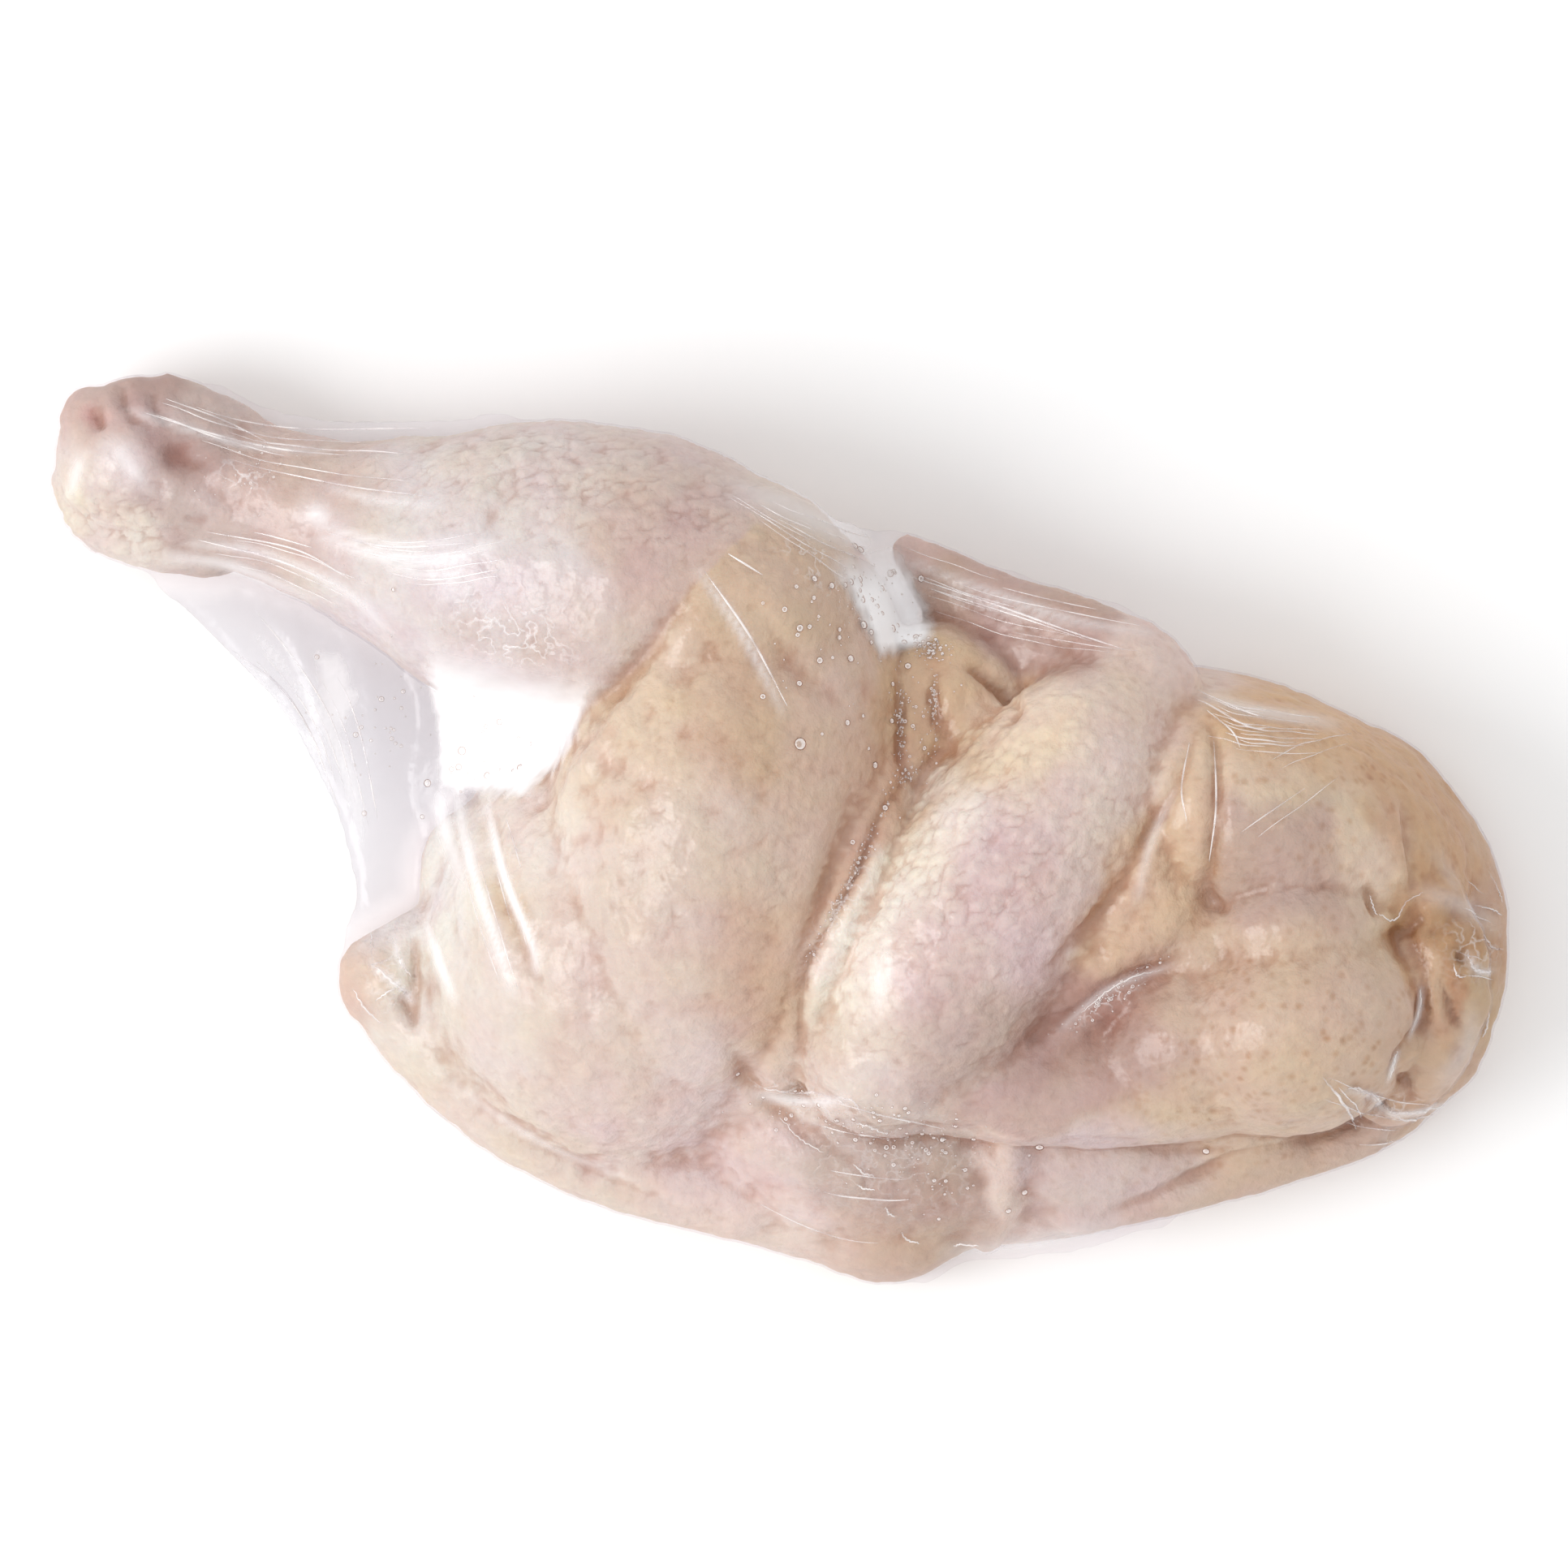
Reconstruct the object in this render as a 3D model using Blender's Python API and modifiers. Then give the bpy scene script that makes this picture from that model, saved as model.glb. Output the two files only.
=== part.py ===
"""Half of a raw small hen, sealed in clear shrink film, lying on its cut side.

The solid is the outer form of the film: the flesh, and the webs where the film spans the hollows of the outline.
+X runs from the hock to the neck, +Y towards the breast, +Z up from the face that the pack lies on.
"""

import math

import bmesh
import bpy
from mathutils import Euler, Matrix, Vector

MM = 0.001

# Driving sizes, in millimetres. The stations below are in the same unit.
TRUNK_EDGE_RADIUS = 7.0     # rounding of the trunk's rim
TRUNK_RIM_HEIGHT = 15.0     # top of the flat rim that runs round the back, the tail and the neck
WEB_THICKNESS = 3.2         # two layers of film with the juice between them
BURIED = 3.0                # how far the forms reach below the resting face before it cuts them
FLESH_VOXEL = 1.3
WRAP_VOXEL = 1.2
FLESH_SMOOTHING = 7
WRAP_SMOOTHING = 4
REGAIN = 0.35               # outward shift that makes up for what the smoothing takes off
TRIANGLES = 9400
TO_MIDDLE = (0.3, 0.2)      # from the stations' origin to the one under the middle of the pack's box

# The trunk as it lies: half of the rib cage, from the tail round the back, the neck and the breast.
TRUNK_OUTLINE = [
    (-54.4, -17.9), (-52.6, -23.6), (-43.4, -34.6), (-26.2, -45.4), (-6.4, -51.0), (3.6, -53.7), (13.6, -56.6),
    (22.6, -52.4), (36.6, -50.7), (47.6, -47.7), (66.0, -42.6), (78.4, -37.4), (85.4, -28.9), (89.1, -16.9),
    (88.8, -5.4), (85.1, 1.6), (75.4, 12.2), (64.0, 13.2), (45.6, 17.1), (18.6, 22.5), (-6.4, 20.1), (-32.4, 7.1),
    (-43.4, 0.1), (-46.2, -12.5), (-53.0, -15.4),
]

# Rounded limbs. Each station is x, y, z and the radius there.
LIMBS = {
    "drumstick": [
        (-79.9, 45.3, 10.2, 10.4), (-73.4, 43.6, 10.6, 10.2), (-66.4, 41.3, 11.6, 9.4), (-56.4, 37.9, 13.6, 10.4),
        (-46.4, 35.3, 16.4, 14.0), (-36.4, 32.4, 19.8, 18.2), (-26.4, 31.4, 22.0, 19.2), (-16.4, 29.6, 24.5, 19.2),
        (-6.4, 26.4, 27.0, 17.2),
    ],
    "hock_pad": [(-86.0, 41.5, 8.6, 4.4), (-80.0, 38.5, 8.6, 6.0)],
    "hock_joint": [(-83.4, 50.8, 13.2, 4.6), (-78.0, 51.8, 14.2, 4.4), (-71.0, 49.8, 13.6, 4.0)],
    "forearm": [
        (12.6, -26.9, 27.0, 11.2), (18.6, -17.9, 29.5, 14.2), (29.1, -2.9, 31.0, 14.0), (37.2, 8.8, 30.0, 11.8),
        (44.2, 16.4, 26.0, 7.6),
    ],
    "upper_arm": [(60.0, -25.5, 27.0, 11.0), (47.6, -29.5, 25.5, 9.4), (33.6, -30.5, 24.5, 8.8), (16.6, -28.5, 26.0, 9.0)],
    "hand": [
        (15.2, 34.3, 18.6, 2.5), (21.6, 31.0, 20.4, 3.1), (29.6, 26.8, 22.4, 3.7), (37.0, 23.2, 24.2, 4.9),
        (44.0, 19.3, 25.0, 6.4),
    ],
    "thumb": [(18.6, 25.6, 18.5, 2.8), (23.6, 22.6, 20.0, 4.2), (31.6, 20.2, 21.5, 5.6), (40.0, 17.6, 23.5, 6.8)],
    "wing_web": [
        (50.1, 8.1, 27.0, 4.0), (48.6, -2.9, 31.0, 5.6), (45.4, -9.9, 33.0, 6.8), (38.6, -17.9, 33.0, 5.0),
        (32.6, -25.0, 30.0, 3.4),
    ],
    "neck_skin": [
        (74.0, 5.0, 15.0, 6.0), (80.0, -3.4, 15.0, 6.4), (84.2, -10.5, 14.0, 4.8), (84.8, -19.0, 13.0, 4.2),
        (82.0, -28.5, 12.0, 4.6),
    ],
    "neck_fold": [
        (78.6, -10.5, 22.5, 3.2), (80.0, -17.0, 21.5, 3.4), (79.4, -24.0, 19.5, 3.4), (76.8, -31.0, 15.5, 3.2),
    ],
    "under_wing": [(35.0, -22.5, 25.0, 4.6), (42.0, -18.0, 25.5, 5.6), (50.0, -12.5, 25.5, 5.0)],
    "fat_strip": [(27.4, -37.0, 19.5, 2.6), (26.6, -44.0, 16.4, 2.6), (25.4, -49.0, 12.6, 2.6)],
}

# Rounded masses. Each is its centre, its three half lengths, and the turn of the first of them from +X, in degrees.
MASSES = {
    "thigh": ((-7.4, 2.6, 20.0), (38.0, 22.5, 27.0), 76.0),
    "knee": ((-1.5, 27.4, 26.0), (16.5, 13.4, 18.5), -35.0),
    "hip": ((-17.6, -11.6, 6.0), (32.5, 27.0, 33.0), 62.0),
    "rump": ((-20.0, -24.6, 7.0), (25.0, 15.4, 18.5), -26.0),
    "tail": ((-49.6, -18.6, 9.5), (5.4, 5.0, 6.6), -50.0),
    "loin": ((11.0, -35.0, 9.0), (24.0, 17.0, 16.0), -8.0),
    "back_point": ((13.2, -49.4, 8.4), (9.6, 6.8, 7.6), 0.0),
    "shoulder_blade": ((42.0, -36.0, 9.0), (22.0, 12.0, 12.0), 12.0),
    "breast": ((58.0, 0.5, 10.0), (30.0, 17.5, 31.0), -22.0),
    "breast_front": ((71.0, -5.0, 9.0), (13.5, 18.5, 24.0), 10.0),
    "shoulder": ((62.2, -24.4, 25.0), (15.6, 13.6, 18.6), 20.0),
    "ribs": ((20.0, 8.0, 10.0), (26.0, 16.0, 15.5), 10.0),
}

# Flat webs of film: the outline, the height at a first and at a second point, and the film is straight between.
WEBS = {
    "tail_web": {
        "outline": [
            (-77.0, 31.8), (-71.4, 25.6), (-66.4, 20.6), (-61.7, 15.3), (-57.7, 8.6), (-55.0, 3.0), (-53.4, -2.8),
            (-52.4, -8.6), (-53.6, -15.0), (-44.4, -17.9), (-36.4, -2.9), (-26.4, 9.1), (-26.4, 26.0), (-40.4, 34.0),
            (-56.4, 38.0), (-72.0, 40.0),
        ],
        "from": (-74.0, 36.0, 9.6), "to": (-48.0, -12.0, 8.4),
    },
    "calf_web": {
        "outline": [
            (-71.5, 54.0), (-64.4, 51.8), (-56.4, 50.3), (-48.4, 49.9), (-40.4, 50.3), (-33.0, 50.2), (-34.4, 40.1),
            (-68.4, 40.1),
        ],
        "from": (-68.0, 48.0, 12.0), "to": (-36.0, 48.0, 20.0),
    },
    "knee_web": {
        "outline": [
            (-5.0, 42.8), (3.0, 38.8), (9.0, 37.0), (15.1, 36.2), (21.0, 33.2), (26.0, 22.1), (13.6, 13.1), (-3.0, 20.1),
        ],
        "from": (0.0, 36.0, 21.5), "to": (19.0, 30.0, 16.6),
    },
    "hand_web": {
        "outline": [(27.0, 31.2), (32.0, 29.5), (37.6, 27.7), (42.6, 26.0), (42.6, 21.1), (27.0, 23.1)],
        "from": (27.0, 28.0, 20.0), "to": (42.0, 26.0, 22.0),
    },
    "wrist_web": {
        "outline": [
            (47.0, 23.2), (50.0, 20.0), (53.0, 17.0), (57.6, 14.8), (63.6, 13.4), (71.6, 12.4), (68.6, 5.1), (48.6, 5.1),
        ],
        "from": (50.0, 19.0, 19.0), "to": (68.0, 12.0, 12.0),
    },
    "back_web": {
        "outline": [
            (17.0, -55.6), (22.6, -53.2), (28.6, -52.8), (36.6, -52.0), (43.6, -49.8), (48.4, -47.8), (38.6, -42.9),
            (18.6, -44.9),
        ],
        "from": (20.0, -50.0, 6.0), "to": (44.0, -48.0, 6.0),
    },
}


def clear_scene():
    for obj in list(bpy.data.objects):
        bpy.data.objects.remove(obj, do_unlink=True)


def collection(name):
    made = bpy.data.collections.new(name)
    bpy.context.scene.collection.children.link(made)
    return made


def metres(point):
    return Vector(point) * MM


def object_of(name, data, home):
    obj = bpy.data.objects.new(name, data)
    home.objects.link(obj)
    return obj


def mesh_copy(obj, name, home):
    """The object's evaluated shape as a mesh of its own, in world space. The object is then removed."""
    graph = bpy.context.evaluated_depsgraph_get()
    graph.update()
    mesh = bpy.data.meshes.new_from_object(obj.evaluated_get(graph))
    mesh.transform(obj.matrix_world)
    bpy.data.objects.remove(obj, do_unlink=True)
    return object_of(name, mesh, home)


def mass(name, centre, half_lengths, turn, home):
    """An ellipsoid, turned about the vertical."""
    mesh = bpy.data.meshes.new(name)
    shape = bmesh.new()
    bmesh.ops.create_uvsphere(shape, u_segments=40, v_segments=24, radius=1.0)
    size = Matrix.Diagonal((*metres(half_lengths), 1.0))
    spin = Euler((0.0, 0.0, math.radians(turn))).to_matrix().to_4x4()
    shape.transform(Matrix.Translation(metres(centre)) @ spin @ size)
    shape.to_mesh(mesh)
    shape.free()
    return object_of(name, mesh, home)


def limb(name, stations, home):
    """A round limb along a smooth curve, with its own radius at each station and a ball at both ends."""
    data = bpy.data.curves.new(name, "CURVE")
    data.dimensions = "3D"
    data.bevel_depth = MM
    data.bevel_resolution = 6
    data.resolution_u = 8
    data.use_fill_caps = True
    spline = data.splines.new("BEZIER")
    spline.bezier_points.add(len(stations) - 1)
    for knot, (x, y, z, radius) in zip(spline.bezier_points, stations):
        knot.co = metres((x, y, z))
        knot.radius = radius
        knot.handle_left_type = knot.handle_right_type = "AUTO"
    pieces = [mesh_copy(object_of(name, data, home), name, home)]
    for x, y, z, radius in (stations[0], stations[-1]):
        pieces.append(mass(name + "_end", (x, y, z), (radius,) * 3, 0.0, home))
    return pieces


def slab(name, outline, top, edge_radius, home):
    """A flat form with a rounded rim. Its widest line is the outline, and it starts below the resting face."""
    data = bpy.data.curves.new(name, "CURVE")
    data.dimensions = "2D"
    data.fill_mode = "BOTH"
    data.resolution_u = 6
    data.bevel_depth = edge_radius * MM
    data.bevel_resolution = 4
    data.extrude = (top + BURIED - 2 * edge_radius) / 2 * MM
    data.offset = -edge_radius * MM
    spline = data.splines.new("BEZIER")
    spline.bezier_points.add(len(outline) - 1)
    spline.use_cyclic_u = True
    for knot, (x, y) in zip(spline.bezier_points, outline):
        knot.co = metres((x, y, 0.0))
        knot.handle_left_type = knot.handle_right_type = "AUTO"
    obj = object_of(name, data, home)
    obj.location.z = (top - BURIED) / 2 * MM
    bpy.context.view_layer.update()
    return mesh_copy(obj, name, home)


def web(name, outline, start, end, home):
    """A thin sheet of film over the outline, sloping evenly from the start's height to the end's."""
    data = bpy.data.curves.new(name, "CURVE")
    data.dimensions = "2D"
    data.fill_mode = "BOTH"
    data.resolution_u = 6
    data.extrude = WEB_THICKNESS / 2 * MM
    spline = data.splines.new("BEZIER")
    spline.bezier_points.add(len(outline) - 1)
    spline.use_cyclic_u = True
    for knot, (x, y) in zip(spline.bezier_points, outline):
        knot.co = metres((x, y, 0.0))
        knot.handle_left_type = knot.handle_right_type = "AUTO"
    obj = mesh_copy(object_of(name, data, home), name, home)
    first, last = metres(start), metres(end)
    along = Vector((last.x - first.x, last.y - first.y))
    slope = (last.z - first.z) / along.length_squared
    for vertex in obj.data.vertices:
        reach = (vertex.co.xy - first.xy).dot(along)
        vertex.co.z += first.z + slope * reach
    return obj


def joined(name, pieces, home):
    """One mesh that holds every piece's faces."""
    shape = bmesh.new()
    for piece in pieces:
        shape.from_mesh(piece.data)
        bpy.data.objects.remove(piece, do_unlink=True)
    mesh = bpy.data.meshes.new(name)
    shape.to_mesh(mesh)
    shape.free()
    return object_of(name, mesh, home)


def melted(name, pieces, voxel, smoothing, home):
    """The pieces grown into one closed skin, with the joints between them softened."""
    obj = joined(name, pieces, home)
    remesh = obj.modifiers.new("one_skin", "REMESH")
    remesh.mode = "VOXEL"
    remesh.voxel_size = voxel * MM
    smooth = obj.modifiers.new("soften", "SMOOTH")
    smooth.factor = 0.5
    smooth.iterations = smoothing
    regain = obj.modifiers.new("regain", "DISPLACE")
    regain.mid_level = 0.0
    regain.strength = REGAIN * MM
    return mesh_copy(obj, name, home)


def skin_material():
    """Pale raw skin under gloss film."""
    material = bpy.data.materials.new("wrapped_skin")
    material.use_nodes = True
    shader = material.node_tree.nodes["Principled BSDF"]
    shader.inputs["Base Color"].default_value = (0.70, 0.53, 0.43, 1.0)
    shader.inputs["Roughness"].default_value = 0.22
    shader.inputs["Metallic"].default_value = 0.0
    return material


def floor_cutter(home):
    """A block under the resting face, which cuts every form off flat there."""
    mesh = bpy.data.meshes.new("floor_cutter")
    shape = bmesh.new()
    bmesh.ops.create_cube(shape, size=1.0)
    shape.transform(Matrix.Translation((0.0, 0.0, -0.05)) @ Matrix.Diagonal((0.4, 0.4, 0.1, 1.0)))
    shape.to_mesh(mesh)
    shape.free()
    cutter = object_of("floor_cutter", mesh, home)
    cutter.hide_render = True
    cutter.display_type = "WIRE"
    return cutter


def main():
    clear_scene()
    parts = collection("wrapped_half_hen_parts")
    cutters = collection("cutters")
    flesh = [slab("trunk", TRUNK_OUTLINE, TRUNK_RIM_HEIGHT, TRUNK_EDGE_RADIUS, parts)]
    for name, stations in LIMBS.items():
        flesh += limb(name, stations, parts)
    for name, (centre, half_lengths, turn) in MASSES.items():
        flesh.append(mass(name, centre, half_lengths, turn, parts))
    hen = melted("hen", flesh, FLESH_VOXEL, FLESH_SMOOTHING, parts)
    webs = [web(name, w["outline"], w["from"], w["to"], parts) for name, w in WEBS.items()]
    wrapped = melted("wrapped_half_hen", [hen, *webs], WRAP_VOXEL, WRAP_SMOOTHING, parts)
    wrapped.data.transform(Matrix.Translation(metres((*TO_MIDDLE, 0.0))))
    wrapped.data.materials.append(skin_material())
    fewer = wrapped.modifiers.new("fewer_faces", "DECIMATE")
    fewer.ratio = TRIANGLES / (2 * len(wrapped.data.polygons))
    fewer.use_collapse_triangulate = True
    flat = wrapped.modifiers.new("resting_face", "BOOLEAN")
    flat.operation = "DIFFERENCE"
    flat.solver = "EXACT"
    flat.object = floor_cutter(cutters)
    wrapped.data.shade_smooth()


main()
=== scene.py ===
import math
import random

import bmesh
import bpy
import numpy as np
from mathutils import Euler, Matrix, Vector, noise
from mathutils.bvhtree import BVHTree


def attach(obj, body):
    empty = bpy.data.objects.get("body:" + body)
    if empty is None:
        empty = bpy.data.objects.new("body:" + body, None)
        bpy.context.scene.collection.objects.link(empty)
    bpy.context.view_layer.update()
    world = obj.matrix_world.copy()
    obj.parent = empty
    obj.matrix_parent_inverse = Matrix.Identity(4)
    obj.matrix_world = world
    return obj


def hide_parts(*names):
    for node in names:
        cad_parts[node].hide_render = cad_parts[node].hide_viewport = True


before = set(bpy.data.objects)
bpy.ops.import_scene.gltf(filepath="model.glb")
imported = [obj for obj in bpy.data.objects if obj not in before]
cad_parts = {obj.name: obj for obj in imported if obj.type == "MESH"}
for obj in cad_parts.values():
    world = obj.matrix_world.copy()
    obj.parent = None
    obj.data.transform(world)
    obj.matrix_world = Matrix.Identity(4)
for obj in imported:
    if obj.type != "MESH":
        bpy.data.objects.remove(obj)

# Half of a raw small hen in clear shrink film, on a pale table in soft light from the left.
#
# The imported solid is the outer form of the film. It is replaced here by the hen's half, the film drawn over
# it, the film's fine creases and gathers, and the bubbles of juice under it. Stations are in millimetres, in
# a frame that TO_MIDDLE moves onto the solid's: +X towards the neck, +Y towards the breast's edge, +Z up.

MM = 0.001
NODE = "wrapped_half_hen"
TO_MIDDLE = (0.3, 0.2)      # from the stations' origin to the one under the middle of the pack's box
PHOTO_WIDTH = 193.2         # what the photograph's width covers at the height of the skin, in mm
PHOTO_MIDDLE = (0.2, 5.5, 20.0)
CAMERA_HEIGHT = 2400.0
SENSOR = 36.0

# The hen's half
BODY_VOXEL = 1.0
SKIN_VOXEL = 0.55
BURIED = 3.0                # how far the forms reach below the face that the half lies on
FLESH_BOTTOM = 0.5          # the cut side of the half, above the film under it
TRUNK_EDGE_RADIUS = 6.5
TRUNK_RIM_HEIGHT = 13.5

# The skin's relief in mm: small swellings, lumps of fat under it, and its grain. What is ADDED counts in the
# regions of the tables BUMPY and LUMPY.
SWELLING_SIZE, SWELLING_ADDED = 1.7, 0.32
SWELLING_LEVEL = 0.6                # the part of a swelling that lies at the skin's own level
SWELLING_STRETCH = (1.35, 0.95, 1.0)
FURROW_WIDTH = 0.42                 # as a share of a swelling
LUMP_SIZE, LUMP_HEIGHT, LUMP_ADDED = 4.2, 0.14, 0.40
GRAIN_SIZE, GRAIN_HEIGHT, GRAIN_ADDED = 1.9, 0.13, 0.10

# The film
FILM_VOXEL = 0.75
FILM_GAP = 0.3              # the juice between skin and film
FILM_BOTTOM = 0.06
WEB_THICKNESS = 1.5
# The film's haze whitens it where it stands off the skin; its grey further off is painted shade, as the
# shaded table under the webs looks
HAZE_FROM, HAZE_FULL, HAZE = 0.6, 2.2, 0.14     # the film whitens where it stands this far off the skin
SHADE_GREY_FROM, SHADE_GREY_FULL = 1.6, 3.6                 # and turns grey a little further off
RAGGED = 0.7                # how far the edge of a white area wanders
EDGE_WIDTH = 1.7            # over how many mm it fades

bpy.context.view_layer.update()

TRUNK_OUTLINE = [
    (-54, -17.9), (-52.2, -23.4), (-43, -34.2), (-26.2, -44.8), (-6.4, -50.4), (3.6, -53.2), (13.6, -56),
    (22.6, -52), (36.6, -50.2), (47.6, -47.2), (66, -42.2), (78, -37), (84.8, -28.7), (88.4, -16.9),
    (88.2, -5.4), (84.6, 1.6), (75, 11.6), (64, 12.8), (45.6, 16.6), (18.6, 22), (-6.4, 20.1), (-22, 9.6),
    (-29, 5.8), (-37, 3.4), (-43.4, -0.9), (-45.8, -12.5), (-52.6, -15.6),
]


# Small makers of meshes

def metres(point):
    return Vector(point) * MM


def object_of(name, data):
    obj = bpy.data.objects.new(name, data)
    bpy.context.scene.collection.objects.link(obj)
    return obj


def finished(name, shape):
    """An object with the faces of the bmesh, which is used up."""
    mesh = bpy.data.meshes.new(name)
    shape.to_mesh(mesh)
    shape.free()
    return object_of(name, mesh)


def mesh_copy(obj, name):
    """The object's evaluated shape as a mesh of its own, in world space. The object is then removed."""
    graph = bpy.context.evaluated_depsgraph_get()
    graph.update()
    mesh = bpy.data.meshes.new_from_object(obj.evaluated_get(graph))
    mesh.transform(obj.matrix_world)
    bpy.data.objects.remove(obj, do_unlink=True)
    return object_of(name, mesh)


def mass(name, centre, half_lengths, turn, lean=0.0):
    """An ellipsoid, leaned about its second axis and then turned about the vertical."""
    shape = bmesh.new()
    bmesh.ops.create_uvsphere(shape, u_segments=48, v_segments=28, radius=1.0)
    size = Matrix.Diagonal((*metres(half_lengths), 1.0))
    spin = Euler((0.0, math.radians(lean), math.radians(turn))).to_matrix().to_4x4()
    shape.transform(Matrix.Translation(metres(centre)) @ spin @ size)
    return finished(name, shape)


def smooth_curve(name, dimensions, steps, stations, closed=False):
    """A smooth curve through the stations, each of them x, y and z."""
    data = bpy.data.curves.new(name, "CURVE")
    data.dimensions = dimensions
    data.resolution_u = steps
    spline = data.splines.new("BEZIER")
    spline.bezier_points.add(len(stations) - 1)
    spline.use_cyclic_u = closed
    for knot, station in zip(spline.bezier_points, stations):
        knot.co = metres(station)
        knot.handle_left_type = knot.handle_right_type = "AUTO"
    return data


def limb(name, stations):
    """A round limb along a smooth curve, with its own radius at each station and a ball at both ends."""
    data = smooth_curve(name, "3D", 8, [station[:3] for station in stations])
    for knot, station in zip(data.splines[0].bezier_points, stations):
        knot.radius = station[3]
    data.bevel_depth = MM
    data.bevel_resolution = 6
    data.use_fill_caps = True
    pieces = [mesh_copy(object_of(name, data), name)]
    for x, y, z, radius in (stations[0], stations[-1]):
        pieces.append(mass(name + "_end", (x, y, z), (radius,) * 3, 0.0))
    return pieces


def flat_curve(name, outline):
    data = smooth_curve(name, "2D", 6, [(x, y, 0.0) for x, y in outline], closed=True)
    data.fill_mode = "BOTH"
    return data


def slab(name, outline, top, edge_radius):
    """A flat form with a rounded rim, its widest line the outline. It starts below the resting face."""
    data = flat_curve(name, outline)
    data.bevel_depth = edge_radius * MM
    data.bevel_resolution = 4
    data.extrude = (top + BURIED - 2 * edge_radius) / 2 * MM
    data.offset = -edge_radius * MM
    obj = object_of(name, data)
    obj.location.z = (top - BURIED) / 2 * MM
    bpy.context.view_layer.update()
    return mesh_copy(obj, name)


def web(name, outline, start, end):
    """A thin sheet of film over the outline, sloping evenly from the start's height to the end's."""
    data = flat_curve(name, outline)
    data.extrude = WEB_THICKNESS / 2 * MM
    obj = mesh_copy(object_of(name, data), name)
    first, last = metres(start), metres(end)
    along = Vector((last.x - first.x, last.y - first.y))
    slope = (last.z - first.z) / along.length_squared
    for vertex in obj.data.vertices:
        reach = (vertex.co.xy - first.xy).dot(along)
        vertex.co.z += first.z + slope * reach
    return obj


def joined(name, pieces):
    """One mesh that holds every piece's faces."""
    shape = bmesh.new()
    for piece in pieces:
        shape.from_mesh(piece.data)
        bpy.data.objects.remove(piece, do_unlink=True)
    return finished(name, shape)


def melted(name, pieces, voxel, smoothing, regain):
    """The pieces grown into one closed skin, with the joints between them softened.

    Regain gives back what the smoothing takes off all round.
    """
    obj = joined(name, pieces)
    remesh = obj.modifiers.new("one_skin", "REMESH")
    remesh.mode = "VOXEL"
    remesh.voxel_size = voxel * MM
    smooth = obj.modifiers.new("soften", "SMOOTH")
    smooth.factor = 0.5
    smooth.iterations = smoothing
    swell = obj.modifiers.new("regain", "DISPLACE")
    swell.mid_level = 0.0
    swell.strength = regain * MM
    return mesh_copy(obj, name)


def cut_flat(obj, height):
    """Takes off what lies below the height and closes the cut."""
    shape = bmesh.new()
    shape.from_mesh(obj.data)
    everything = list(shape.verts) + list(shape.edges) + list(shape.faces)
    level, down = (0.0, 0.0, height * MM), (0.0, 0.0, -1.0)
    cut = bmesh.ops.bisect_plane(shape, geom=everything, plane_co=level, plane_no=down, clear_outer=True)
    rim = [e for e in cut["geom_cut"] if isinstance(e, bmesh.types.BMEdge)]
    bmesh.ops.holes_fill(shape, edges=rim, sides=0)
    shape.to_mesh(obj.data)
    shape.free()


# Vertex work

class Skin:
    """A mesh's points and normals as arrays in millimetres, for sculpting and painting."""

    def __init__(self, obj):
        self.mesh = obj.data
        self.points = self.vectors("co") / MM
        self.normals = self.vectors("normal")
        pairs = np.empty(len(self.mesh.edges) * 2, dtype=np.int64)
        self.mesh.edges.foreach_get("vertices", pairs)
        self.pairs = pairs.reshape(-1, 2)
        self.degree = np.bincount(pairs, minlength=len(self.points)).clip(1)

    def vectors(self, name):
        flat = np.empty(len(self.mesh.vertices) * 3)
        self.mesh.vertices.foreach_get(name, flat)
        return flat.reshape(-1, 3)

    def store(self):
        self.mesh.vertices.foreach_set("co", (self.points * MM).ravel())
        self.mesh.update()
        self.normals = self.vectors("normal")

    def blurred(self, values, rounds):
        """The values averaged with their neighbours', several times over."""
        first, second = self.pairs.T
        values = np.array(values, dtype=float)
        columns = values.reshape(len(values), -1)
        for _ in range(rounds):
            for column in columns.T:
                total = np.bincount(first, column[second], len(column))
                total += np.bincount(second, column[first], len(column))
                column[:] = 0.5 * column + 0.5 * total / self.degree
        return columns.reshape(values.shape)

    def hollow(self, rounds):
        """How deep each point lies in a crease of about the size that the rounds reach, in mm."""
        return ((self.blurred(self.points, rounds) - self.points) * self.normals).sum(1)

    def read(self, name):
        values = np.empty(len(self.points), dtype=np.float32)
        self.mesh.attributes[name].data.foreach_get("value", values)
        return values.astype(float)

    def paint(self, name, values):
        if values.ndim == 1:
            layer = self.mesh.attributes.new(name, "FLOAT", "POINT")
            layer.data.foreach_set("value", values.astype(np.float32))
        else:
            layer = self.mesh.color_attributes.new(name, "FLOAT_COLOR", "POINT")
            rgba = np.ones((len(values), 4), dtype=np.float32)
            rgba[:, :3] = values
            layer.data.foreach_set("color", rgba.ravel())


def path_distance(points, path):
    """Each point's distance to the path in plan, and how far along the path that is, from 0 to 1."""
    path = np.array(path, dtype=float)
    starts, steps = path[:-1], np.diff(path, axis=0)
    lengths = np.hypot(*steps.T)
    before = np.concatenate([[0.0], np.cumsum(lengths)[:-1]])
    best = np.full(len(points), 1e9)
    where = np.zeros(len(points))
    for start, step, length, passed in zip(starts, steps, lengths, before):
        reach = ((points[:, :2] - start) @ step / length ** 2).clip(0.0, 1.0)
        away = np.hypot(*(points[:, :2] - start - reach[:, None] * step).T)
        nearer = away < best
        best[nearer] = away[nearer]
        where[nearer] = (passed + reach[nearer] * length) / lengths.sum()
    return best, where


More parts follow.
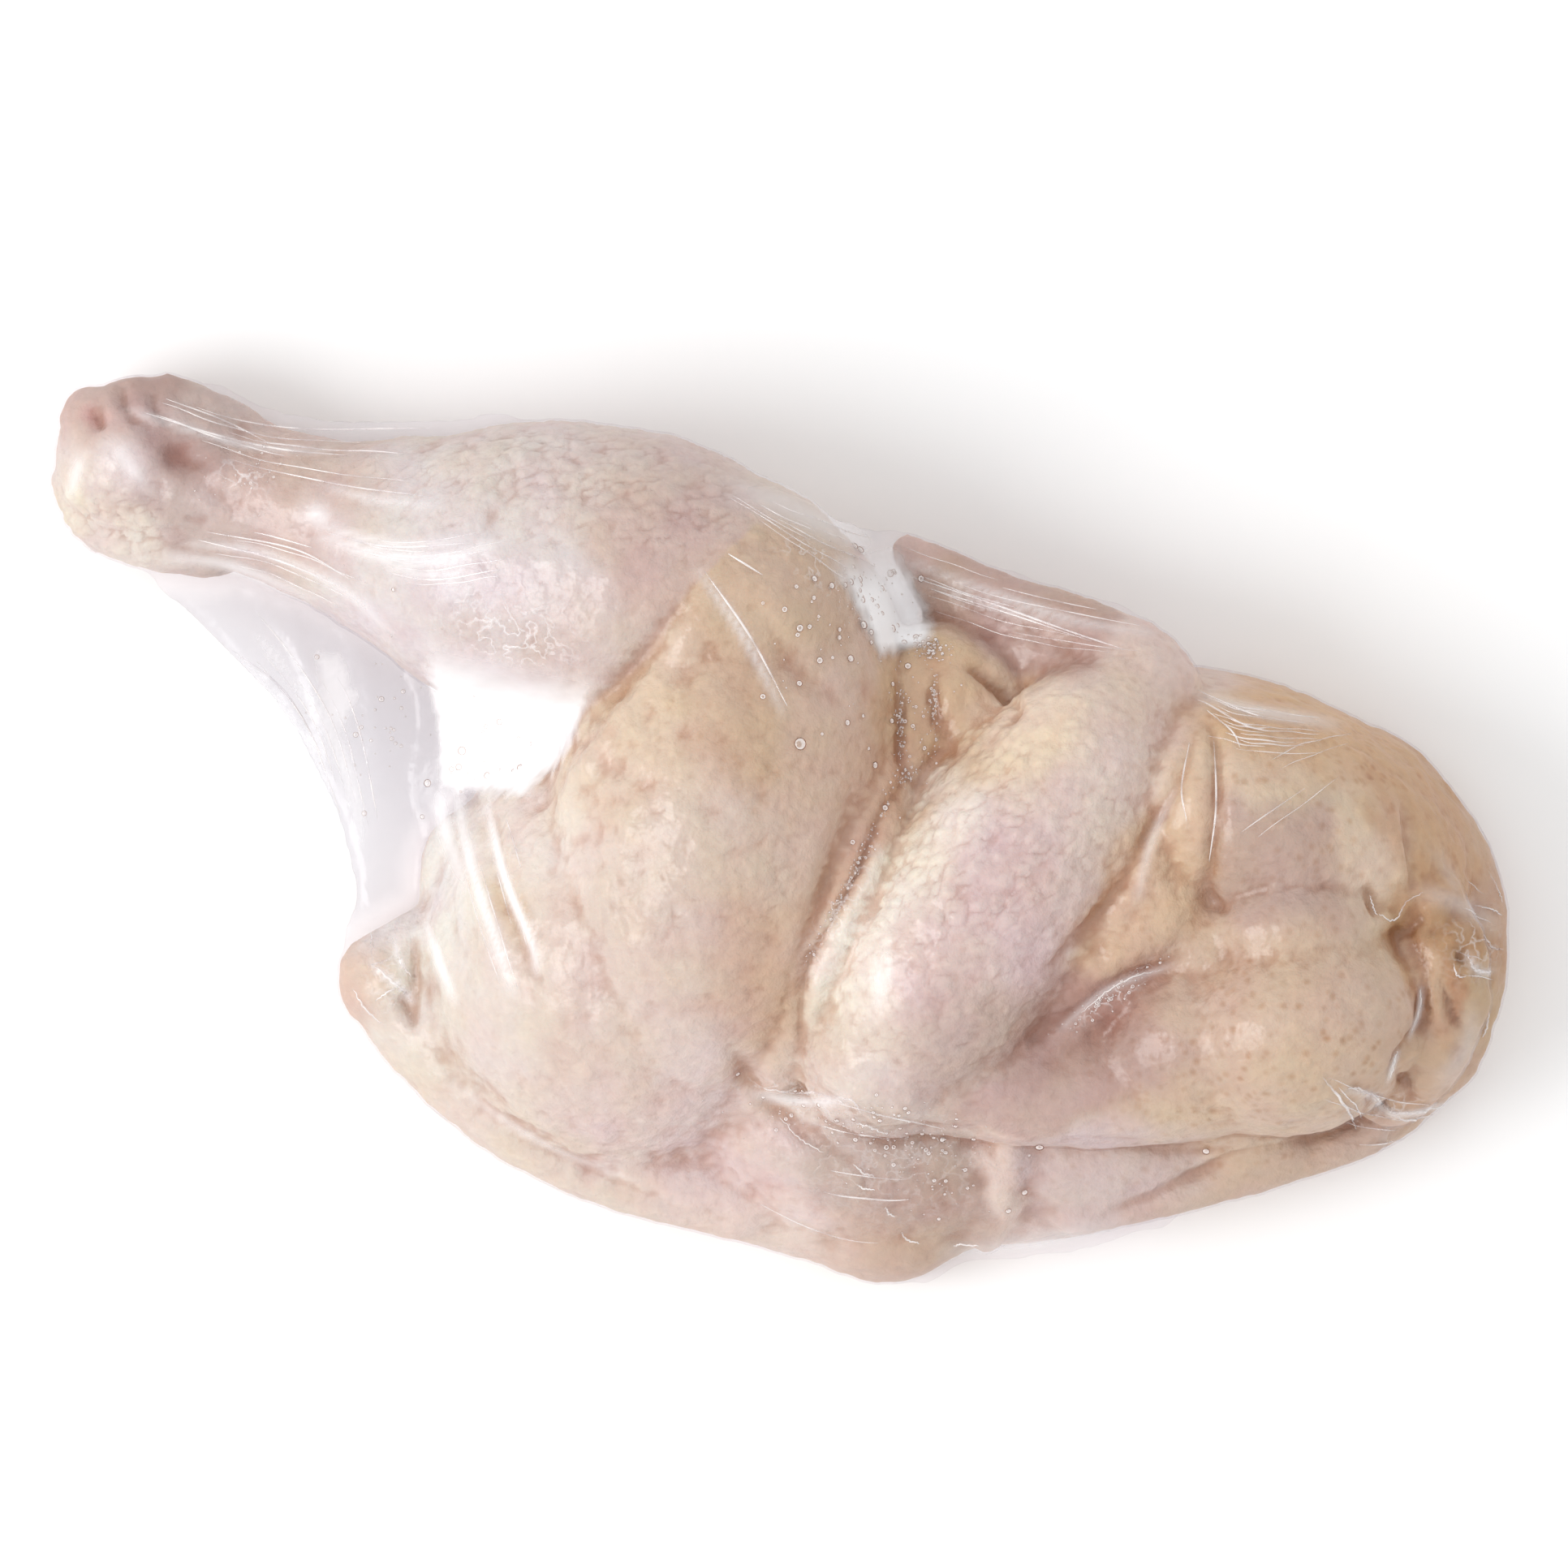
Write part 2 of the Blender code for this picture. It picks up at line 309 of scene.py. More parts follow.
def curved(path, steps=6):
    """The path rounded off between its points."""
    path = np.array(path, dtype=float)
    ends = np.vstack([2 * path[0] - path[1], path, 2 * path[-1] - path[-2]])
    out = []
    for i in range(len(path) - 1):
        a, b, c, d = ends[i:i + 4]
        for t in np.arange(steps) / steps:
            out.append(0.5 * (2 * b + (c - a) * t + (2 * a - 5 * b + 4 * c - d) * t ** 2
                              + (3 * b - a - 3 * c + d) * t ** 3))
    out.append(path[-1])
    return np.array(out)


def sculpt(skin, strokes):
    """Presses grooves and raises folds along paths seen from above, each with its half width and height."""
    upward = (skin.normals[:, 2] * 3.0).clip(0.0, 1.0)
    for path, width, height in strokes.values():
        away, along = path_distance(skin.points, curved(path))
        ends = np.sin(np.pi * along.clip(0.0, 1.0)).clip(0.0, 1.0) ** 0.5
        push = height * ends * np.exp(-(away / width) ** 2) * upward
        skin.points += push[:, None] * skin.normals
    skin.store()


def fractal(points, size, octaves):
    """Soft noise in lumps of about that many mm, near -1 to 1."""
    return np.array([noise.fractal(Vector(p) / size, 1.0, 2.0, octaves) for p in points])


def wrinkled_cells(points, size):
    """1 on top of each small swelling of about that many mm, 0 in the furrows between them."""
    bent = points + 0.35 * size * np.array([noise.noise_vector(Vector(p) / size * 0.7) for p in points])
    bent = bent / (size * np.array(SWELLING_STRETCH))
    nearest = np.array([noise.voronoi(Vector(p))[0][:2] for p in bent])
    return smooth_step(((nearest[:, 1] - nearest[:, 0]) / FURROW_WIDTH).clip(0.0, 1.0))


def smooth_step(part):
    """From 0 to 1 with soft ends."""
    return part * part * (3.0 - 2.0 * part)


def wander(points, scale):
    """A smoothly changing shift for each point, a swing of it about 1 / scale mm long."""
    return np.array([noise.noise_vector(Vector(p) * scale) for p in points])


def share(points, middle, halves, turn):
    """How much a turned oval region counts at each point, from 1 at its middle to about 0 outside it."""
    angle = math.radians(turn)
    off = points[:, :2] - middle
    along = (off @ (math.cos(angle), math.sin(angle))) / halves[0]
    across = (off @ (-math.sin(angle), math.cos(angle))) / halves[1]
    return np.exp(-1.1 * (along ** 2 + across ** 2))


def strongest(table, points, power=0.6):
    """The amount of the table's strongest region at each point. A low power makes the regions fuller."""
    return np.max([amount * share(points, middle, halves, turn) ** power
                   for middle, halves, turn, amount in table.values()], axis=0)


def raise_bumps(skin):
    """The skin's small swellings and the soft lumps of the fat under it."""
    swelling = wrinkled_cells(skin.points, SWELLING_SIZE)
    lumps = fractal(skin.points, LUMP_SIZE, 2)
    grain = fractal(skin.points, GRAIN_SIZE, 2)
    bumpy = strongest(BUMPY, skin.points)
    lumpy = strongest(LUMPY, skin.points)
    rise = SWELLING_ADDED * bumpy * (swelling - SWELLING_LEVEL)
    rise = rise + (LUMP_HEIGHT + LUMP_ADDED * lumpy) * lumps + (GRAIN_HEIGHT + GRAIN_ADDED * bumpy) * grain
    skin.points += rise[:, None] * skin.normals
    skin.store()
    skin.paint("swelling", swelling)
    skin.paint("lumps", lumps)


# The hen's half

LEG = {
    "drumstick": [
        (-79.9, 45.6, 10.4, 9.8), (-73.4, 43.8, 10.8, 9.8), (-66.4, 41.3, 11.6, 8.9),
        (-56.4, 38, 13.6, 9.9), (-46.4, 35.4, 16.2, 13.2), (-36.4, 32.8, 19.4, 17.4),
        (-26.4, 31.6, 21.8, 18.4), (-16.4, 29.6, 24.2, 18.6), (-6.4, 26.4, 26.8, 16.6),
    ],
    "hock_pad": [(-84.6, 42.2, 8.8, 4), (-80.4, 39.6, 8.8, 5), (-74, 38.2, 9.4, 4.6)],
    "tendon": [(-72, 45, 19.4, 2), (-64, 41.5, 19.6, 2.4), (-55, 38.5, 21.4, 3)],
}

HOCK = {
    "outer_knob": [(-85.2, 50.6, 12.6, 4), (-83.4, 46.8, 14.4, 4.6)],
    "inner_knob": [(-80.2, 52.4, 14.2, 3.3), (-78, 49, 15.4, 4.2)],
    "small_knob": [(-76, 53.2, 13.6, 2.9), (-70.6, 50.6, 13.2, 3.3), (-65, 47, 13, 3.6)],
    "edge_knob": [(-82, 53.2, 9.4, 2.4), (-79.6, 54.2, 9.6, 1.9)],
    "fat_pad": [(-86, 43, 9.8, 4.2), (-83.6, 39.8, 9, 5.2), (-78, 37.8, 9.4, 5.6), (-71, 37, 10.2, 5.8)],
}

LEG_MASSES = {
    "thigh": ((-7.4, 2.6, 19.4), (37.6, 22, 26.8), 76),
    "knee": ((-3.4, 27, 25.6), (14.6, 12, 18.2), -35),
    "thigh_crown": ((-17.5, 9.5, 27), (13, 9, 13.5), 60),
}

BODY_LIMBS = {
    "neck_skin": [
        (74, 4.6, 14.6, 5.8), (79.8, -3.4, 14.6, 6.2), (84, -10.5, 13.6, 4.4), (84.6, -19, 12.6, 3.9),
        (81.8, -28.3, 11.6, 4.2),
    ],
    "neck_fold": [
        (77.6, -8.5, 25, 5.4), (79.8, -15, 27.6, 6), (80.2, -21, 26.4, 6), (78.4, -27, 23, 5.8),
        (75, -31.5, 18.6, 5),
    ],
    "neck_rim": [
        (79.6, 3.6, 11, 3.2), (82.6, -2.4, 12.2, 4), (84.6, -9.5, 13.4, 4.6), (84.8, -16, 13, 4.6),
        (83.6, -23, 12.4, 4.4), (81, -29, 11.4, 4.2),
    ],
    "rim_fill": [
        (-45.4, -15.6, 8.6, 5), (-44.8, -21.4, 9, 5.4), (-41.4, -27.6, 9.4, 5.6), (-35.4, -33, 9.8, 5.8),
        (-27, -38, 10, 5.8), (-16, -42.4, 10, 5.6), (-5, -45.6, 9.8, 5.2),
    ],
    "fat_strip": [
        (28, -38, 19.4, 2.2), (27.6, -42, 18, 2.5), (26.4, -46, 15.4, 2.4), (25.4, -50.2, 11.6, 2.2),
    ],
    "gap_fold": [
        (11.4, 12, 25, 4.8), (10.4, 3, 30.8, 5.4), (7.4, -6, 33.8, 5.8), (3.4, -15, 33, 5.8),
        (1.6, -22, 28.6, 5), (-1.4, -28, 23.4, 5), (-4.6, -32.4, 17.6, 4.6),
    ],
    "back_ridge": [
        (36, -47.6, 13.2, 2.6), (48, -44.6, 13.8, 3), (60, -41.2, 13.8, 3.2), (72, -37.6, 13.2, 2.8),
    ],
}

BODY_MASSES = {
    "back_fill": ((57, -38.4, 14), (8.4, 3.6, 7.8), 6),
    "hip": ((-17, -12.4, 6), (31, 26.4, 32.4), 62),
    "rump": ((-20, -24.6, 7), (24.6, 15, 18), -26),
    "tail": ((-48.6, -19, 8.4), (6.4, 6, 6.2), -50),
    "loin": ((11, -35, 8.6), (24, 16.6, 15.6), -8),
    "back_point": ((13.2, -49.2, 8.2), (9.2, 6.4, 7.2), 0),
    "shoulder_blade": ((42, -36, 9), (22, 11.6, 12), 12),
    "breast": ((58, 0.5, 10), (29.4, 17, 30.6), -22),
    "breast_front": ((71, -5, 9), (13, 18, 23.6), 10),
    "ribs": ((20, 8, 10), (26, 16, 15), 10),
    "belly": ((8, 16, 8), (20, 9, 12), 0),
    "notch_skin": ((19.8, 14.6, 20.4), (10.6, 10.6, 10.8), 0),
    "notch_left": ((14, 11, 23.4), (6, 9.6, 9), 0),
}

WING = {
    "forearm": [
        (12.6, -26.9, 26.6, 10.8), (18.6, -17.9, 29.2, 13.8), (29.1, -2.9, 30.6, 13.6),
        (37.2, 8.8, 29.6, 11.4), (44.2, 16.4, 25.6, 7.2),
    ],
    "forearm_side": [
        (12.6, -21.6, 26.4, 9.6), (17.9, -10, 27.4, 9.6), (21.4, -3, 27.4, 9.2), (27.2, 6, 26.6, 8),
    ],
    "upper_arm": [
        (60, -25.5, 26.6, 10.6), (47.6, -29.5, 25, 9), (33.6, -30.5, 24, 8.4), (16.6, -28.5, 25.6, 8.6),
    ],
    "wing_web": [
        (50.1, 8.1, 26.6, 3.4), (48.8, -2.9, 30.2, 4.6), (46, -9.9, 31, 5.6), (39, -17.9, 31.4, 4.4),
        (32.6, -25, 29.6, 3),
    ],
    "under_wing": [(35, -22.5, 23, 4), (42, -18, 23, 5), (50, -12.5, 23, 4.5)],
    "hand": [
        (15.4, 34.3, 18.2, 2.1), (21.6, 31, 20, 2.7), (29.6, 26.8, 22, 3.3), (37, 23, 23.8, 4.5),
        (44, 18.8, 24.6, 5.8),
    ],
    "palm": [(17.4, 30.6, 18, 2.4), (24, 27.6, 19.6, 3.9), (32, 24.4, 21.4, 5.4), (42, 19.4, 24, 6.6)],
    "thumb": [(19.6, 25.6, 17.4, 2.4), (24.6, 22.8, 19.2, 3.8), (32, 20.4, 21, 5.2), (40, 17.6, 23, 6.4)],
}

WING_MASSES = {
    "shoulder": ((63.4, -23.8, 24.6), (16.4, 13.4, 18.2), 20),
    "patagium": ((42.8, -4, 23), (8.6, 17, 15.2), -22),
    "under_fill": ((45, -20, 21), (15, 8, 11.4), 6),
    "pocket_fill": ((51.6, -14.6, 22), (7, 8, 13.6), 0),
    "breast_low": ((63, -12, 22), (14, 9.6, 18.4), 4),
    "shoulder_flap": ((50, -26, 22), (13, 12, 15.4), 30),
}

# Grooves below zero and folds above: path in plan, half width, height
HEN_STROKES = {
    "rim_crease": (
        [
            (-42.7, -27.5), (-38.4, -31.1), (-32.4, -36.9), (-26.4, -40.9), (-16.4, -45.4), (-4.4, -49.6),
        ],
        1.2, -0.8,
    ),
    "rim_fold": ([(-44.5, -29.5), (-40.5, -33.4), (-33, -39.6), (-24.4, -43.4), (-14.4, -46.6)], 1.6, 0.35),
    "tail_notch": ([(-45.5, -13.2), (-45.4, -18.5), (-45.5, -25.2)], 0.6, -1.2),
    "tail_hollow": ([(-47, -20.2), (-46.4, -22.4), (-45.8, -24.6)], 0.8, -1.5),
    "fat_edge": ([(-10.4, 30.1), (-18.4, 19.1), (-26.4, 9.1), (-30.4, 2.1)], 1.6, -1),
    "fat_lip": ([(-8.2, 28.4), (-16, 17.6), (-24, 8), (-28, 1)], 1.8, 0.8),
    "thigh_fold_a": ([(-35.4, 2.1), (-34.6, -6), (-32.4, -13), (-29, -20.5)], 1, -0.9),
    "thigh_fold_b": ([(-38.2, 3), (-37.8, -5), (-36, -13), (-33.4, -20)], 1.3, 0.7),
    "thigh_fold_c": ([(-40.8, 1), (-41.6, -8), (-39.6, -16), (-36.6, -22.5)], 1.2, -0.6),
    "knee_fold": ([(-4.4, 28.1), (1.6, 20.1), (7.6, 14.6)], 1.6, -0.7),
    "thigh_side_a": ([(9.6, 5), (6, -4), (3.6, -14), (0.6, -24)], 1.4, -1),
    "thigh_side_b": ([(7, 4), (3.2, -6), (0.4, -16), (-1.8, -26)], 1.8, 0.7),
    "thigh_foot": ([(-6.4, -26), (-3.4, -32), (2, -37), (9, -41)], 1.3, -1.2),
    "gap_crease": (
        [
            (15.2, 7.2), (14.6, 4.6), (12.6, 2.4), (10.1, -3.8), (6.9, -10.4), (4.6, -14.4), (2.8, -18.6),
            (2.1, -28),
        ],
        0.7, -1.8,
    ),
    "notch_crease_a": ([(14.2, 18.2), (14.7, 14.3), (14.5, 9.2), (15.2, 6.8)], 0.6, -1.7),
    "notch_crease_b": ([(19.3, 19.4), (18.6, 17.7), (18.6, 14.3), (20.3, 10.8)], 0.6, -1.5),
    "notch_rim": ([(22.6, 20.6), (26, 18), (28.4, 15.2), (27, 12.6)], 0.8, -1.8),
    "forearm_crease": ([(51, 12), (48.6, 6.1), (45, 0), (42.6, -5), (38, -11.6), (32, -18)], 0.9, -1.5),
    "web_line": ([(51.6, 14), (53.2, 10), (53, 3), (52.2, -4), (52.4, -8), (54.6, -10.6)], 0.9, -1.7),
    "under_fold": ([(30, -26), (36, -22.6), (42, -18.6), (48, -16.8)], 1.3, -1.4),
    "elbow_foot": ([(2.2, -28.5), (5.6, -33.4), (12, -37.4), (20, -37.2), (27, -38.6)], 1, -1.1),
    "blade_crease": ([(34, -38.4), (42, -39), (52, -40.2), (60, -38.4), (68, -33.8)], 1, -1),
    "back_crease": ([(38.6, -48.4), (47, -44.8), (54, -41.4), (64, -38.6), (72.6, -35.4)], 0.9, -1.1),
    "breast_groove": ([(76.4, 3.6), (76.6, -1), (77, -4.4), (77.3, -7.8)], 0.6, -1.3),
    "breast_lip": ([(75.2, 2.4), (75.6, -2.6), (76, -7)], 0.9, 0.45),
    "breast_pinch_a": ([(71.4, -6.8), (72.4, -9.2), (72.9, -11)], 0.7, -1.2),
    "breast_pinch_b": ([(73.1, -10.6), (74.9, -11.3), (76.5, -9), (78.6, -7.8)], 0.8, 0.9),
    "shoulder_edge": (
        [
            (75.8, -12), (77.8, -15.5), (78.7, -18.8), (78.7, -21.8), (77.7, -24.8), (75.7, -27.8),
            (73.9, -31.6),
        ],
        0.6, -1.2,
    ),
    "neck_crease_a": ([(80.4, -17.8), (81.4, -20.6), (82.4, -23.2), (83.6, -24.6)], 0.6, -1.3),
    "neck_crease_b": ([(82.8, -14.8), (83.4, -15.8), (83.3, -16.8)], 0.8, -1.5),
    "neck_crease_c": ([(74.4, -12.8), (76.6, -12.2), (78.6, -10.2)], 0.8, -0.9),
    "neck_crease_d": ([(84.2, -24.4), (86, -21.6), (87.2, -18.6)], 0.9, 0.9),
    "neck_crease_e": ([(75.2, -29.4), (76.7, -31.5), (77.8, -34)], 0.8, -1.3),
    "neck_lobe_a": ([(78.2, -16.6), (79.6, -20.6), (80.8, -24.4), (81.2, -27.4)], 1.1, 0.9),
    "neck_lobe_b": ([(84.4, -11), (85.8, -13.6), (86.4, -17.4)], 1.8, 0.9),
    "neck_lobe_c": ([(76.8, -26.6), (79.8, -28.6), (82.8, -28)], 1.7, 0.9),
    "neck_lobe_d": ([(78, -9.6), (81, -8.6), (84.4, -6)], 1.4, 0.7),
    "neck_lobe_e": ([(78.2, -12.6), (81, -12), (84, -8.8)], 1, -0.8),
    "pocket": ([(72.2, -32.8), (73, -34.8), (73.4, -37)], 1.1, -2.6),
    "hock_recess": ([(-85.1, 52.4), (-84.6, 50.8), (-84, 49.2)], 0.9, -1.7),
    "hock_groove": ([(-81.6, 55.4), (-81.4, 53), (-80.2, 51), (-77.6, 49.6)], 0.7, -1.1),
    "hock_groove_b": ([(-77.6, 54), (-77, 51.6), (-75, 50)], 0.7, -0.8),
    "hock_hollow": ([(-76.5, 47.4), (-73, 45.2), (-70, 44.6)], 1.8, -1.3),
    "shank_tendon": ([(-74, 41.5), (-66, 38), (-59, 34.6)], 1.3, 0.6),
    "hand_groove_a": ([(21, 28.6), (28, 25.6), (36, 22.6)], 0.8, -0.8),
    "hand_groove_b": ([(24, 24.6), (32, 22.8), (40, 20)], 0.8, -0.5),
}


def limbs(table):
    return [piece for name, stations in table.items() for piece in limb(name, stations)]


def masses(table):
    return [mass(name, *sizes) for name, sizes in table.items()]


def hen_half():
    """The bird's half. Body, leg, wing and hock are soft within themselves and meet in sharp creases."""
    trunk = [slab("trunk", TRUNK_OUTLINE, TRUNK_RIM_HEIGHT, TRUNK_EDGE_RADIUS)]
    trunk += limbs(BODY_LIMBS) + masses(BODY_MASSES)
    body = melted("body", trunk, BODY_VOXEL, smoothing=8, regain=0.3)
    leg = melted("leg", limbs(LEG) + masses(LEG_MASSES), BODY_VOXEL, smoothing=9, regain=0.3)
    wing = melted("wing", limbs(WING) + masses(WING_MASSES), BODY_VOXEL, smoothing=5, regain=0.25)
    hock = melted("hock", limbs(HOCK), BODY_VOXEL, smoothing=4, regain=0.2)
    hen = melted("half_hen", [body, leg, wing, hock], SKIN_VOXEL, smoothing=5, regain=0.1)
    skin = Skin(hen)
    sculpt(skin, HEN_STROKES)
    skin.points = skin.blurred(skin.points, 1)
    skin.store()
    raise_bumps(skin)
    cut_flat(hen, FLESH_BOTTOM)
    return hen


# The film

WEBS = {
    "tail_web": {
        "outline": [
            (-78.4, 32.6), (-72.4, 25.6), (-67.2, 20.2), (-62.3, 14.9), (-58.3, 8.2), (-55.6, 2.8),
            (-53.9, -2.8), (-53, -8.6), (-54, -15), (-44.4, -17.9), (-36.4, -2.9), (-37, 8), (-38.4, 20),
            (-44.4, 28), (-56.4, 36), (-72, 40),
        ],
        "from": (-74, 36, 9.6), "to": (-48, -12, 8.4),
    },
    "leg_window": {
        "outline": [
            (-45, 24), (-43.6, 14), (-44, 2), (-34, -2), (-22, 4), (-17, 14), (-24, 22), (-36, 25),
        ],
        "from": (-44, 10, 10.2), "to": (-24, 12, 19),
    },
    "calf_web": {
        "outline": [
            (-72, 54.6), (-64.4, 52.3), (-56.4, 50.8), (-48.4, 50.3), (-40.4, 50.6), (-33, 50.6),
            (-34.4, 40.1), (-68.4, 40.1),
        ],
        "from": (-68, 48, 12), "to": (-36, 48, 20),
    },
    "knee_web": {
        "outline": [
            (-5.4, 43.2), (3, 39.6), (9, 37.6), (15.1, 36.6), (21.4, 33.6), (26, 22.1), (13.6, 13.1),
            (-3, 20.1),
        ],
        "from": (0, 36, 21.5), "to": (19, 30, 16.6),
    },
    "hand_web": {
        "outline": [(26.6, 31.6), (32, 30), (37.6, 28.3), (43.2, 26.6), (42.6, 21.1), (27, 23.1)],
        "from": (27, 28, 20), "to": (42, 26, 22),
    },
    "wrist_web": {
        "outline": [
            (46.6, 24.4), (49.6, 20.8), (53, 17.8), (57.6, 15.6), (63.6, 14.2), (72, 12.8), (68.6, 5.1),
            (48.6, 5.1),
        ],
        "from": (50, 19, 19), "to": (68, 12, 12),
    },
    "back_web": {
        "outline": [
            (16.4, -56.2), (22.6, -53.8), (28.6, -53.4), (36.6, -52.4), (43.6, -50.2), (48.8, -48.2),
            (38.6, -42.9), (18.6, -44.9),
        ],
        "from": (20, -50, 6), "to": (44, -48, 6),
    },
}

# Folds and pleats in the film: path in plan, half width, height
FILM_STROKES = {
    "tail_pleat_a": ([(-62, 30), (-58, 18), (-55.6, 8)], 0.9, 0.5),
    "tail_pleat_b": ([(-66, 30.6), (-60.4, 22.4), (-57, 15.2)], 0.7, 0.45),
    "tail_pleat_c": ([(-58, 32), (-52, 20), (-50, 8), (-50.6, -6)], 1.1, 0.35),
    "tail_gather_a": ([(-51.6, -13), (-50, -17), (-46.4, -20)], 0.8, 0.9),
    "tail_gather_b": ([(-53, -17), (-49.4, -17.6), (-46, -22)], 0.7, -0.8),
    "tail_gather_c": ([(-47.6, -13.2), (-46.4, -17)], 0.7, 0.9),
    "thigh_pleat_a": ([(-42, -3), (-38.6, -11), (-33, -20)], 0.7, 0.5),
    "thigh_pleat_b": ([(-35.2, 1.6), (-31.8, -9), (-29.8, -17.6)], 0.7, 0.5),
    "thigh_pleat_c": ([(-43.8, -9), (-41, -15), (-38.2, -22)], 0.6, 0.45),
    "calf_pleat": ([(-61, 36.6), (-54, 33), (-48, 30)], 0.6, 0.3),
}

# Painted highlights: white strokes on the film that stand in for its glints and streaks of reflection: path,
# half width, amount
HIGHLIGHT_STROKES = {
    "calf_streak_a": ([(-60, 38.6), (-54, 36.4), (-46, 34.6), (-38, 35.6)], 0.7, 0.5),
    "calf_streak_b": ([(-57, 36), (-50, 33.8), (-42, 33), (-34.6, 35)], 0.9, 0.65),
    "calf_streak_c": ([(-52, 34.4), (-45, 31.4), (-38, 31)], 0.8, 0.4),
    "calf_streak_d": ([(-57, 42.4), (-50, 40.4), (-42, 39.6)], 0.6, 0.35),
    "shank_spot": ([(-58.6, 39.4), (-55.6, 37.6)], 1.5, 0.6),
    "shank_low_a": ([(-76, 33.6), (-68, 32.4), (-58, 28.4)], 0.8, 0.5),
    "shank_low_b": ([(-74, 35.2), (-64, 34), (-54, 29.4), (-48, 24)], 0.6, 0.4),
    "web_streak_a": ([(-62, 20), (-56, 12), (-53, 4), (-52, -4)], 1.2, 0.45),
    "web_streak_b": ([(-58, 22), (-53, 15)], 1, 0.55),
    "web_streak_c": ([(-66, 25), (-60, 18)], 0.8, 0.35),
    "web_edge": ([(-70, 24.4), (-62.6, 15.8), (-57.4, 8), (-54.6, -2)], 0.6, 0.4),
    "hock_line": ([(-80.6, 51.6), (-74, 49.6), (-66, 47.2), (-56, 46.4)], 0.5, 0.4),
    "hock_front": ([(-86.4, 46), (-88, 41)], 0.9, 0.5),
    "hock_patch": ([(-82.4, 47), (-80.6, 45), (-78.4, 42.4)], 1.2, 0.5),
    "window_foot": ([(-42.6, 5), (-41.6, -0.6), (-39, -7)], 1.1, 0.6),
    "neck_haze_a": ([(78, -7.6), (82.6, -9), (88, -12)], 1.3, 0.25),
    "neck_haze_b": ([(84.6, -22), (84, -27), (80.6, -31.6)], 1.3, 0.25),
    "neck_haze_c": ([(79.6, -2), (82, -6), (84, -12)], 1, 0.15),
    "elbow_gleam": ([(11.5, -15.4), (12, -18.6), (11.6, -22.4)], 0.8, 0.5),
    "fold_a": ([(-40.4, 4.6), (-38.4, -4), (-34.9, -14.4), (-33, -20)], 0.8, 0.75),
    "fold_b": ([(-36.4, 3), (-34.1, -5.9), (-30.7, -14), (-30, -17.6)], 0.6, 0.9),
    "fold_c": ([(-44.2, -11), (-42.6, -15.4), (-40.4, -21)], 0.7, 0.7),
    "knee_line": ([(-10.4, 31.6), (-5, 24), (0, 14.4)], 0.6, 0.45),
    "knee_web_low": ([(-6, 42.2), (1, 39.4), (7.6, 36.2), (12.6, 34.4)], 2.4, 0.45),
    "hand_line": ([(13.6, 33.6), (24, 29.6), (36, 25.6), (45, 24)], 0.6, 0.4),
    "hand_line_low": ([(17, 30.4), (27, 27), (38, 24.4)], 0.5, 0.3),
    "wrist_line": ([(51, 16.6), (58, 14.6), (68, 12.8)], 0.9, 0.4),
    "elbow_glint": ([(12.4, -13), (12.8, -17), (12.2, -21.6)], 0.8, 0.35),
    "back_glint": ([(-3.4, -32.6), (3, -33.6), (8, -33)], 0.7, 0.6),
    "under_line": ([(34, -24.6), (40, -19.6), (48, -16.6)], 0.5, 0.35),
    "patagium_line": ([(48, 4.6), (45, -2), (43.4, -8.6)], 0.6, 0.35),
    "shoulder_side": ([(75.4, -27.2), (74.8, -29), (74.2, -31)], 0.4, 0.5),
    "neck_line_a": ([(69, -32), (72.3, -32.8), (75.4, -35.2), (83, -34)], 0.45, 0.5),
    "neck_line_b": ([(84, -15.4), (85.4, -17.4), (87.6, -17.6)], 0.5, 0.5),
    "neck_line_c": ([(78.2, -19.4), (78, -22.4), (76.8, -25.6)], 0.35, 0.5),
    "tail_line_a": ([(-50.8, -16.8), (-47.4, -19.5), (-45.6, -21.4)], 0.5, 0.7),
    "tail_line_b": ([(-48.2, -13.6), (-47, -16.7), (-46, -18.2)], 0.4, 0.5),
    "rim_line": ([(-40, -32), (-30, -38.6), (-18, -43.6)], 0.5, 0.3),
    "back_web_shine": ([(20, -52.4), (30, -51.4), (42, -48.6)], 1.2, 0.3),
}

# Where the film is painted white all over, standing in for glare on it and for the bright table seen through
# it: outline in plan, where the white has faded out, where it is full, amount
GLARE_AREAS = {
    "leg_window": (
        [
            (-43.8, 28), (-43.2, 17.1), (-42, 10.4), (-42.4, 8), (-42, 5.4), (-39, 4.9), (-35, 4.2),
            (-31.6, 4.4), (-27.6, 8.4), (-25.6, 11.6), (-24.2, 15), (-21, 22), (-28, 28), (-38, 30),
        ],
        (-33.4, 22.8), (-35.2, 14.6), 0.95,
    ),
    "knee_window": (
        [
            (3, 37), (9, 37.6), (14.4, 35.6), (15.6, 30.8), (16.4, 29.3), (17.2, 27.4), (18.2, 24.4),
            (17.4, 22.8), (12.2, 21.6), (10.2, 25.5), (8.1, 29.6), (5.6, 33.4),
        ],
        (9, 36.6), (11.4, 28.4), 0.92,
    ),
    "web_gleam": (
        [
            (-57.6, 22), (-54.6, 21.4), (-52.6, 16.6), (-55, 10), (-57, 13),
        ],
        (-54, 9), (-55.4, 15), 0.5,
    ),
}

